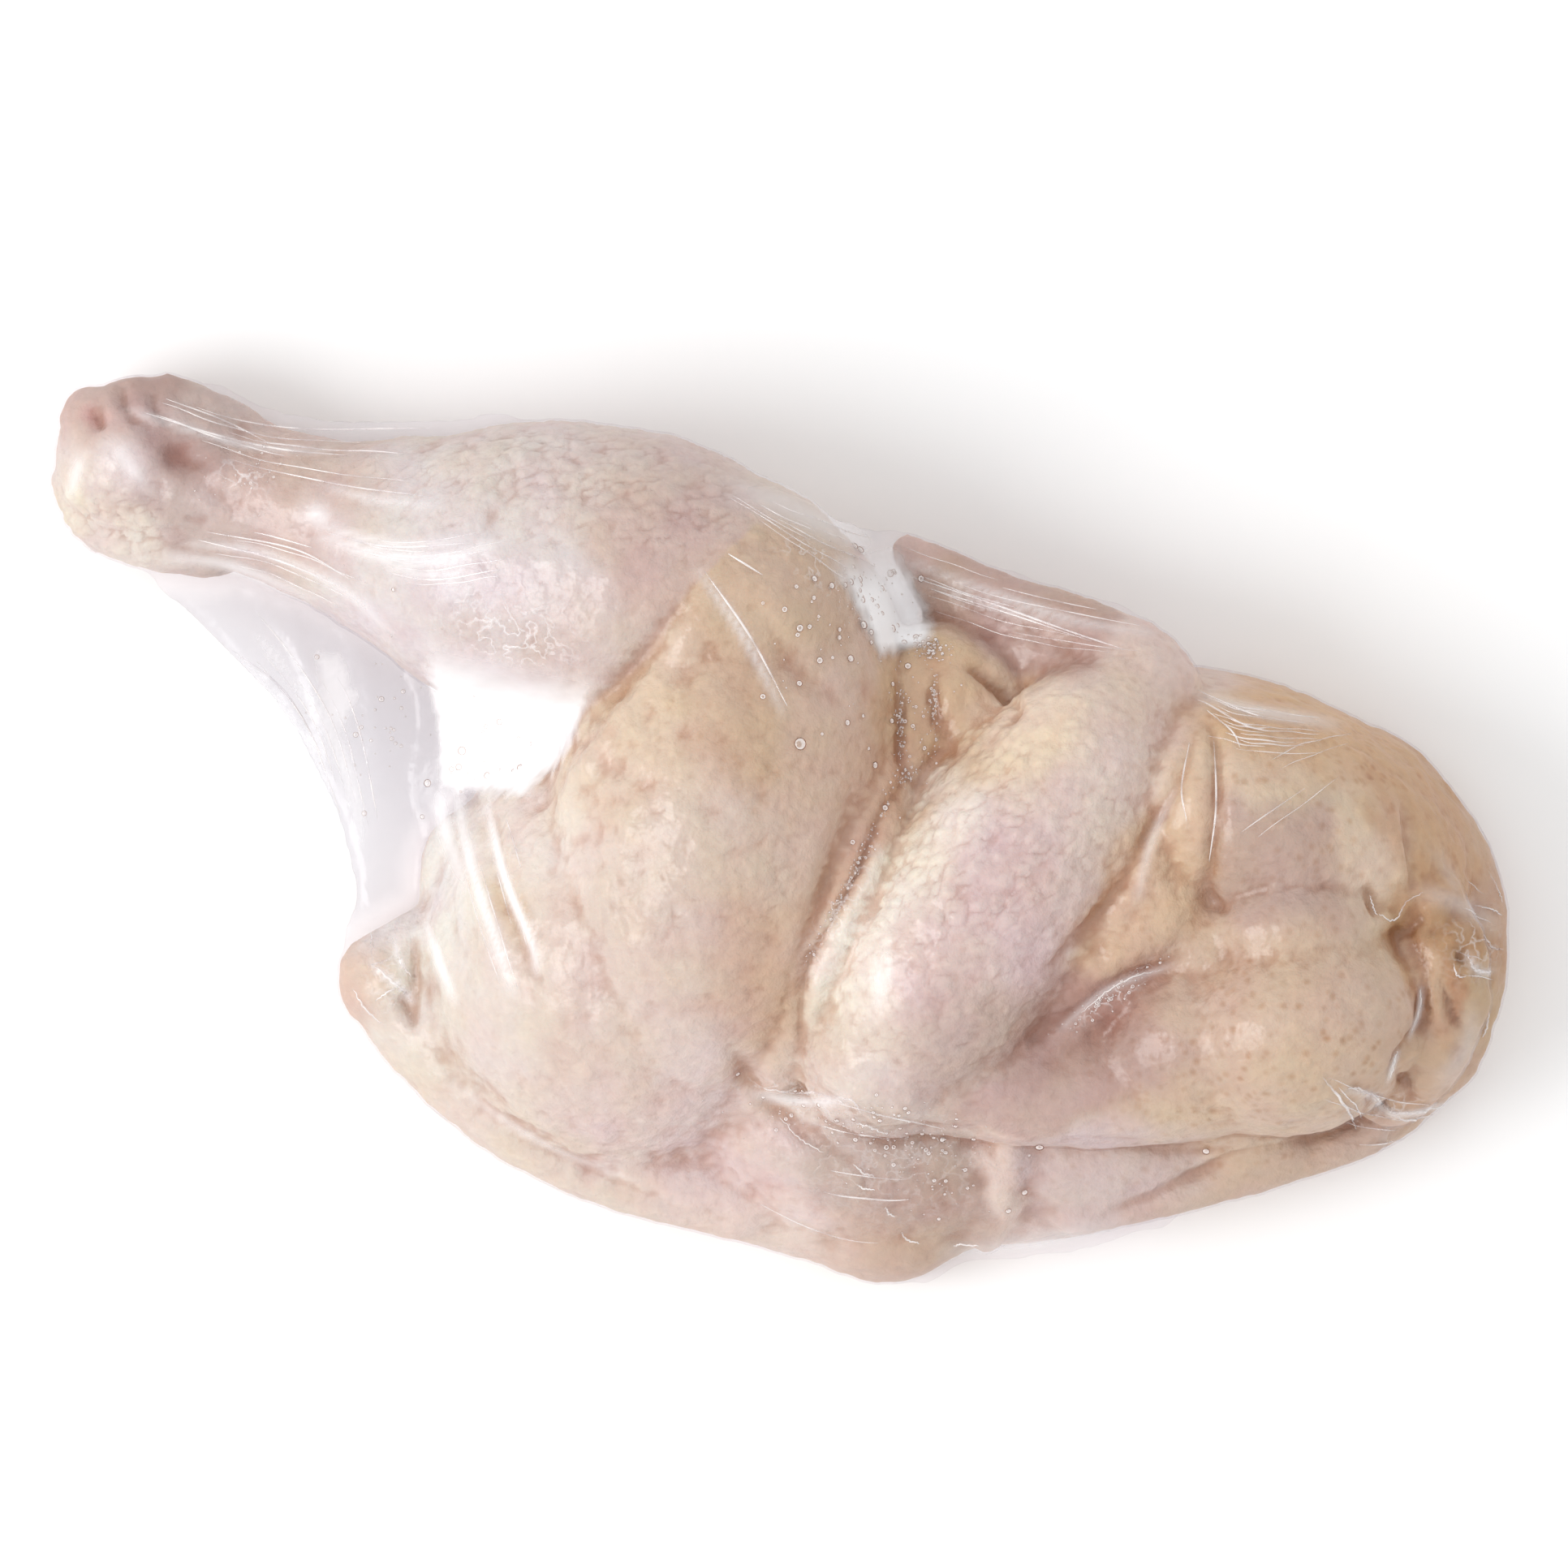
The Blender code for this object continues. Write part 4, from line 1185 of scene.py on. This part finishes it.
# Sheaves of fine lines: first and last path, how many, radius
SHEAVES = {
    "wrist": ([(50.4, 17.6), (56, 15), (66, 13.6)], [(51.6, 11), (58, 9.6), (66, 9.4)], 12, 0.09),
    "hock": ([(-76, 53.6), (-64, 50), (-44, 49.6)], [(-78, 49), (-62, 43.6), (-42, 40)], 6, 0.09),
    "shank": ([(-74, 33.4), (-64, 31.6), (-54, 27)], [(-73, 37.6), (-60, 35), (-50, 31)], 5, 0.1),
    "web": ([(-70, 26), (-60, 14), (-55, 2)], [(-64, 31), (-54, 16), (-50, 0)], 6, 0.09),
    "calf": ([(-57, 37.4), (-46, 35), (-34, 37)], [(-53, 32.4), (-44, 30), (-34, 31)], 7, 0.1),
    "knee": ([(-8, 43), (2, 38.6), (14, 34.6)], [(-6, 40), (3, 34), (9, 30)], 7, 0.08),
    "hand": ([(15, 34.4), (28, 30), (44, 26.6)], [(18, 27), (30, 23), (44, 21)], 8, 0.08),
    "thigh": ([(-41, 2), (-38, -8), (-34, -20)], [(-34, 2), (-31, -8), (-28.6, -18)], 5, 0.1),
    "breast": ([(54, 4), (62, 10), (70, 12)], [(52, -6), (60, 0), (68, 6)], 4, 0.08),
    "neck": ([(66, -30), (74, -33), (84, -34.6)], [(64, -36), (72, -38.6), (78, -38)], 4, 0.09),
    "throat": ([(84, -6), (86.4, -8), (88.8, -9.6)], [(81, -18), (84, -18.4), (87.6, -19)], 4, 0.09),
    "back": ([(-4, -32), (6, -33.6), (20, -37)], [(-8, -43), (8, -50), (22, -49)], 5, 0.1),
}

# Ribbons of gathered film: path in plan, half width
GATHERS = {
    "neck_foot": (
        [
            (69.1, -31.9), (70.3, -31.7), (72.3, -32.6), (74.1, -34.1), (75.4, -35), (78.5, -35),
            (81.8, -34.3), (83.4, -33.4),
        ],
        0.2,
    ),
    "neck_foot_low": ([(74.6, -34.9), (76.6, -35.9), (79.6, -35.7), (82, -34.9)], 0.13),
    "neck_streak": ([(66, -30.4), (68.6, -33.6), (70.9, -37)], 0.19),
    "neck_streak_b": ([(68, -31.6), (70.2, -33.8), (71.6, -36)], 0.1),
    "throat_a": ([(83.9, -15.2), (84.7, -17), (85.8, -17.5), (87.4, -17.6)], 0.21),
    "throat_b": ([(85.1, -9.4), (87.4, -9.9), (88.8, -10.8)], 0.1),
    "throat_c": ([(87.2, -5.4), (88.2, -7.2), (88.8, -9)], 0.1),
    "throat_d": ([(82.2, -16.6), (82.8, -18), (83.8, -18.2)], 0.12),
    "throat_e": ([(86.4, -13), (87.6, -14.6), (88.8, -14.9)], 0.15),
    "shoulder_edge_a": ([(78.2, -19.6), (78.1, -22), (77.2, -24.6)], 0.12),
    "shoulder_edge_b": ([(75.3, -27.2), (74.9, -28.8), (74.5, -30.6)], 0.14),
    "pinch_a": ([(73, -10.4), (74.9, -11.2), (76.5, -9), (78.5, -7.8)], 0.12),
    "pinch_b": ([(71.9, -8.2), (72.4, -9.6), (72.8, -10.6)], 0.1),
    "neck_side": ([(87.2, -22.6), (87, -24.4), (86.4, -25.8)], 0.14),
    "tail_a": ([(-51.2, -16.8), (-49.8, -16.6), (-48.6, -16.1)], 0.12),
    "tail_b": ([(-50.8, -16.7), (-47.4, -19.5), (-45.6, -21.4)], 0.21),
    "tail_c": ([(-48.2, -13.6), (-47, -16.7), (-45.9, -18.3)], 0.13),
    "tail_d": ([(-53, -19.9), (-51.7, -22.1), (-49.6, -24.1)], 0.13),
    "tail_e": ([(-50.2, -21.2), (-48.1, -19.9), (-46.2, -20.4)], 0.13),
    "tail_f": ([(-50.9, -12.6), (-50.8, -14.4), (-50.6, -16.2)], 0.08),
    "elbow_foot": ([(-2.4, -31.9), (1.6, -32.5), (4.4, -32.4), (8, -33.8)], 0.15),
    "elbow_foot_b": ([(6.4, -32.8), (8.6, -33.4), (9.6, -34.8)], 0.12),
    "back_a": ([(7.9, -35.9), (10.5, -36.5), (13.2, -37.7)], 0.14),
    "back_b": ([(8.8, -41.3), (10.1, -42.4), (11.7, -42.9)], 0.14),
    "back_c": ([(9.2, -43.8), (10.2, -44.3), (11.4, -44.4)], 0.12),
    "back_d": ([(12.7, -46.6), (13.1, -47.4), (13.9, -47.8)], 0.12),
    "back_e": ([(14.7, -49.8), (15.5, -50.8), (17, -51.2)], 0.13),
    "back_f": ([(21, -51.6), (22.4, -51.4), (24.3, -51.6)], 0.12),
    "back_g": ([(-0.4, -35.4), (2.2, -38.2), (5, -39.8)], 0.1),
    "wing_fold": ([(36.6, -22.6), (40, -19.8), (43.4, -18), (46.6, -17.2)], 0.09),
}


def drop(tree, x, y):
    """The point of the surface straight below (x, y), and its normal."""
    hit, normal, _, _ = tree.ray_cast(Vector((x, y, 80.0)), Vector((0.0, 0.0, -1.0)))
    return hit, normal


def thread(shape, tree, path, radius, stand=1.0):
    """A tapered thread laid in the film along the path, its height the stand times its width."""
    places = [drop(tree, x, y)[0] for x, y in path]
    places = [place for place in places if place is not None]
    if len(places) < 4:
        return
    rings = []
    turns = [2.0 * math.pi * k / 6 for k in range(6)]
    for i, place in enumerate(places):
        ahead = places[min(i + 1, len(places) - 1)] - places[max(i - 1, 0)]
        side = ahead.cross(Vector((0.0, 0.0, 1.0))).normalized()
        up = side.cross(ahead).normalized()
        wide = radius * math.sin(math.pi * (i + 0.5) / len(places)) ** 0.6
        ring = [place + wide * (math.cos(a) * side + stand * math.sin(a) * up) for a in turns]
        rings.append([shape.verts.new(point * MM) for point in ring])
    for first, second in zip(rings, rings[1:]):
        for k in range(6):
            shape.faces.new((first[k], first[(k + 1) % 6], second[(k + 1) % 6], second[k]))
    shape.faces.new(rings[0][::-1])
    shape.faces.new(rings[-1])


def film_creases(tree, seed=3):
    """Fine raised lines where the film is gathered or pulled tight."""
    draw = random.Random(seed)
    shape = bmesh.new()
    for path, radius in CREASES.values():
        thread(shape, tree, curved(path, 10), radius)
    for first, last, count, radius in SHEAVES.values():
        first, last = curved(first, 12), curved(last, 12)
        for i in range(count):
            part = (i + draw.uniform(-0.3, 0.3)) / max(count - 1, 1)
            line = first + (last - first) * part
            phase, pace = draw.uniform(0.0, 6.0), draw.uniform(0.4, 1.1)
            line = line + np.array([(0.0, 0.08 * math.sin(phase + pace * k)) for k in range(len(line))])
            start = draw.randrange(0, len(line) // 2)
            reach = draw.randrange(8, len(line))
            thread(shape, tree, line[start:start + reach], radius * draw.uniform(0.6, 1.3))
    bmesh.ops.recalc_face_normals(shape, faces=shape.faces)
    return finished("film_creases", shape)


def film_gathers(tree, seed=5):
    """Ribbons of doubled film where it is gathered at the pack's ends and over its hollows."""
    draw = random.Random(seed)
    shape = bmesh.new()
    for path, radius in GATHERS.values():
        line = curved(path, 8)
        shift = np.array([(draw.uniform(-0.12, 0.12), draw.uniform(-0.12, 0.12)) for _ in line])
        thread(shape, tree, line + shift, radius, 1.1)
    bmesh.ops.recalc_face_normals(shape, faces=shape.faces)
    return finished("film_gathers", shape)


# Where bubbles of juice lie: middle, half lengths, turn, how many, smallest and largest radius
BUBBLES = {
    "window": ((-36, 9), (9, 6), 0, 26, 0.12, 0.45),
    "knee_web": ((9.6, 29), (5, 6), 40, 90, 0.12, 0.5),
    "notch": ((15.6, 14), (6, 7), 0, 40, 0.12, 0.4),
    "notch_crease_a": ((14.5, 12.4), (0.5, 6.4), 0, 90, 0.09, 0.22),
    "notch_crease_b": ((18.7, 14.8), (0.5, 4.8), 0, 70, 0.09, 0.22),
    "notch_foot": ((15.4, 6.4), (1.8, 1.2), 20, 45, 0.09, 0.25),
    "notch_top": ((18.2, 22.2), (2.8, 1.5), -20, 110, 0.1, 0.3),
    "gap": ((8.6, -5.4), (0.8, 12), -26, 120, 0.09, 0.25),
    "elbow_foot": ((8, -36), (14, 3.4), -8, 120, 0.1, 0.35),
    "back": ((18, -41), (8, 7), 0, 110, 0.1, 0.36),
    "fold": ((40, -20.6), (7, 1.4), 36, 70, 0.1, 0.3),
    "knee": ((4, 20), (8, 12), 0, 24, 0.15, 0.5),
    "shank": ((-66, 44), (8, 4), 0, 40, 0.1, 0.25),
    "tail_web": ((-50, 14), (8, 12), 0, 40, 0.12, 0.35),
}

# Single larger bubbles: place and radius
LARGE_BUBBLES = [
    (-39.6, 9.6, 0.55), (-32.4, 7.6, 0.4), (-43.9, 5.6, 0.5), (2.2, 10.4, 0.8), (2.1, 17.8, 0.4),
    (0.3, 26.8, 0.4), (10, 25, 0.55), (13.6, 24.6, 0.5), (4.6, 20.6, 0.45), (11.4, 7.8, 0.45), (8, 13, 0.4),
    (31.6, -39.2, 0.6), (29.9, -44.9, 0.45), (52.2, -39.8, 0.5), (27.9, -47.2, 0.4), (12.6, 2.6, 0.4),
    (15.4, 20, 0.45), (8.6, -1.6, 0.35), (16.4, 23.6, 0.4), (-49.6, 16, 0.35), (-52.8, 11.6, 0.35),
    (-36.6, 12.6, 0.3),
]


def bubble(shape, tree, x, y, radius):
    place, normal = drop(tree, x, y)
    if place is None:
        return
    lie = normal.to_track_quat("Z", "Y").to_matrix().to_4x4()
    size = Matrix.Diagonal((radius, radius, radius * 0.6, 1.0))
    matrix = Matrix.Scale(MM, 4) @ Matrix.Translation(place) @ lie @ size
    bmesh.ops.create_icosphere(shape, subdivisions=2 if radius > 0.2 else 1, radius=1.0, matrix=matrix)


def bubbles(tree, seed=7):
    """Small domes of juice under the film."""
    draw = random.Random(seed)
    shape = bmesh.new()
    for x, y, radius in LARGE_BUBBLES:
        bubble(shape, tree, x, y, radius)
    for middle, halves, turn, count, small, large in BUBBLES.values():
        angle = math.radians(turn)
        for _ in range(count):
            along = draw.gauss(0.0, 0.5) * halves[0]
            across = draw.gauss(0.0, 0.5) * halves[1]
            x = middle[0] + along * math.cos(angle) - across * math.sin(angle)
            y = middle[1] + along * math.sin(angle) + across * math.cos(angle)
            bubble(shape, tree, x, y, small + (large - small) * draw.random() ** 3)
    return finished("juice_bubbles", shape)


# Stage

TABLE_HALF = 2.5            # metres
LAMP_TARGET = (0.0, 0.0, 15.0)
ROOM_COLOUR = (0.98, 0.99, 1.0, 1.0)
ROOM_STRENGTH = 0.94

# The round soft lamps: place, width, power in watts
LAMPS = {
    "key_softbox": ((-620.0, -90.0, 740.0), 400.0, 1.0),
    "wide_softbox": ((-700.0, -200.0, 700.0), 650.0, 3.4),
}


def floor():
    shape = bmesh.new()
    bmesh.ops.create_grid(shape, x_segments=8, y_segments=8, size=TABLE_HALF)
    obj = finished("table_top", shape)
    obj.data.materials.append(table_material())


def softbox(name, place, width, power):
    data = bpy.data.lights.new(name, "AREA")
    data.shape = "ELLIPSE"
    data.size = data.size_y = width * MM
    data.energy = power
    obj = object_of(name, data)
    obj.location = metres(place)
    obj.rotation_mode = "QUATERNION"
    obj.rotation_quaternion = (metres(LAMP_TARGET) - obj.location).to_track_quat("-Z", "Y")


def light():
    world = bpy.data.worlds.new("soft_room")
    world.use_nodes = True
    back = world.node_tree.nodes["Background"]
    back.inputs["Color"].default_value = ROOM_COLOUR
    back.inputs["Strength"].default_value = ROOM_STRENGTH
    bpy.context.scene.world = world
    for name, lamp in LAMPS.items():
        softbox(name, *lamp)
    bpy.context.scene.view_settings.view_transform = "Standard"


def camera():
    data = bpy.data.cameras.new("camera")
    data.sensor_width = SENSOR
    data.lens = SENSOR * (CAMERA_HEIGHT - PHOTO_MIDDLE[2]) / PHOTO_WIDTH
    data.clip_end = 10.0
    obj = object_of("camera", data)
    obj.location = metres((PHOTO_MIDDLE[0] + TO_MIDDLE[0], PHOTO_MIDDLE[1] + TO_MIDDLE[1], CAMERA_HEIGHT))
    bpy.context.scene.camera = obj


def dress(obj, material):
    """Moves a finished piece into the solid's frame and gives it its place in the model."""
    obj.data.transform(Matrix.Translation(metres((*TO_MIDDLE, 0.0))))
    obj.data.materials.clear()
    obj.data.materials.append(material)
    obj.data.shade_smooth()
    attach(obj, "root")
    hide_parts(NODE)


def main():
    camera()
    light()
    floor()
    hen = hen_half()
    film = shrink_film(hen)
    paint_hen(hen)
    tree = tree_of(film)
    creases = film_creases(tree)
    gathers = film_gathers(tree)
    beads = bubbles(tree)
    dress(hen, hen_material())
    dress(film, film_material())
    dress(creases, crease_material("film_creases", 0.1, 0.6))
    dress(gathers, crease_material("film_gathers", 0.10, 0.70))
    dress(beads, bubble_material())


main()
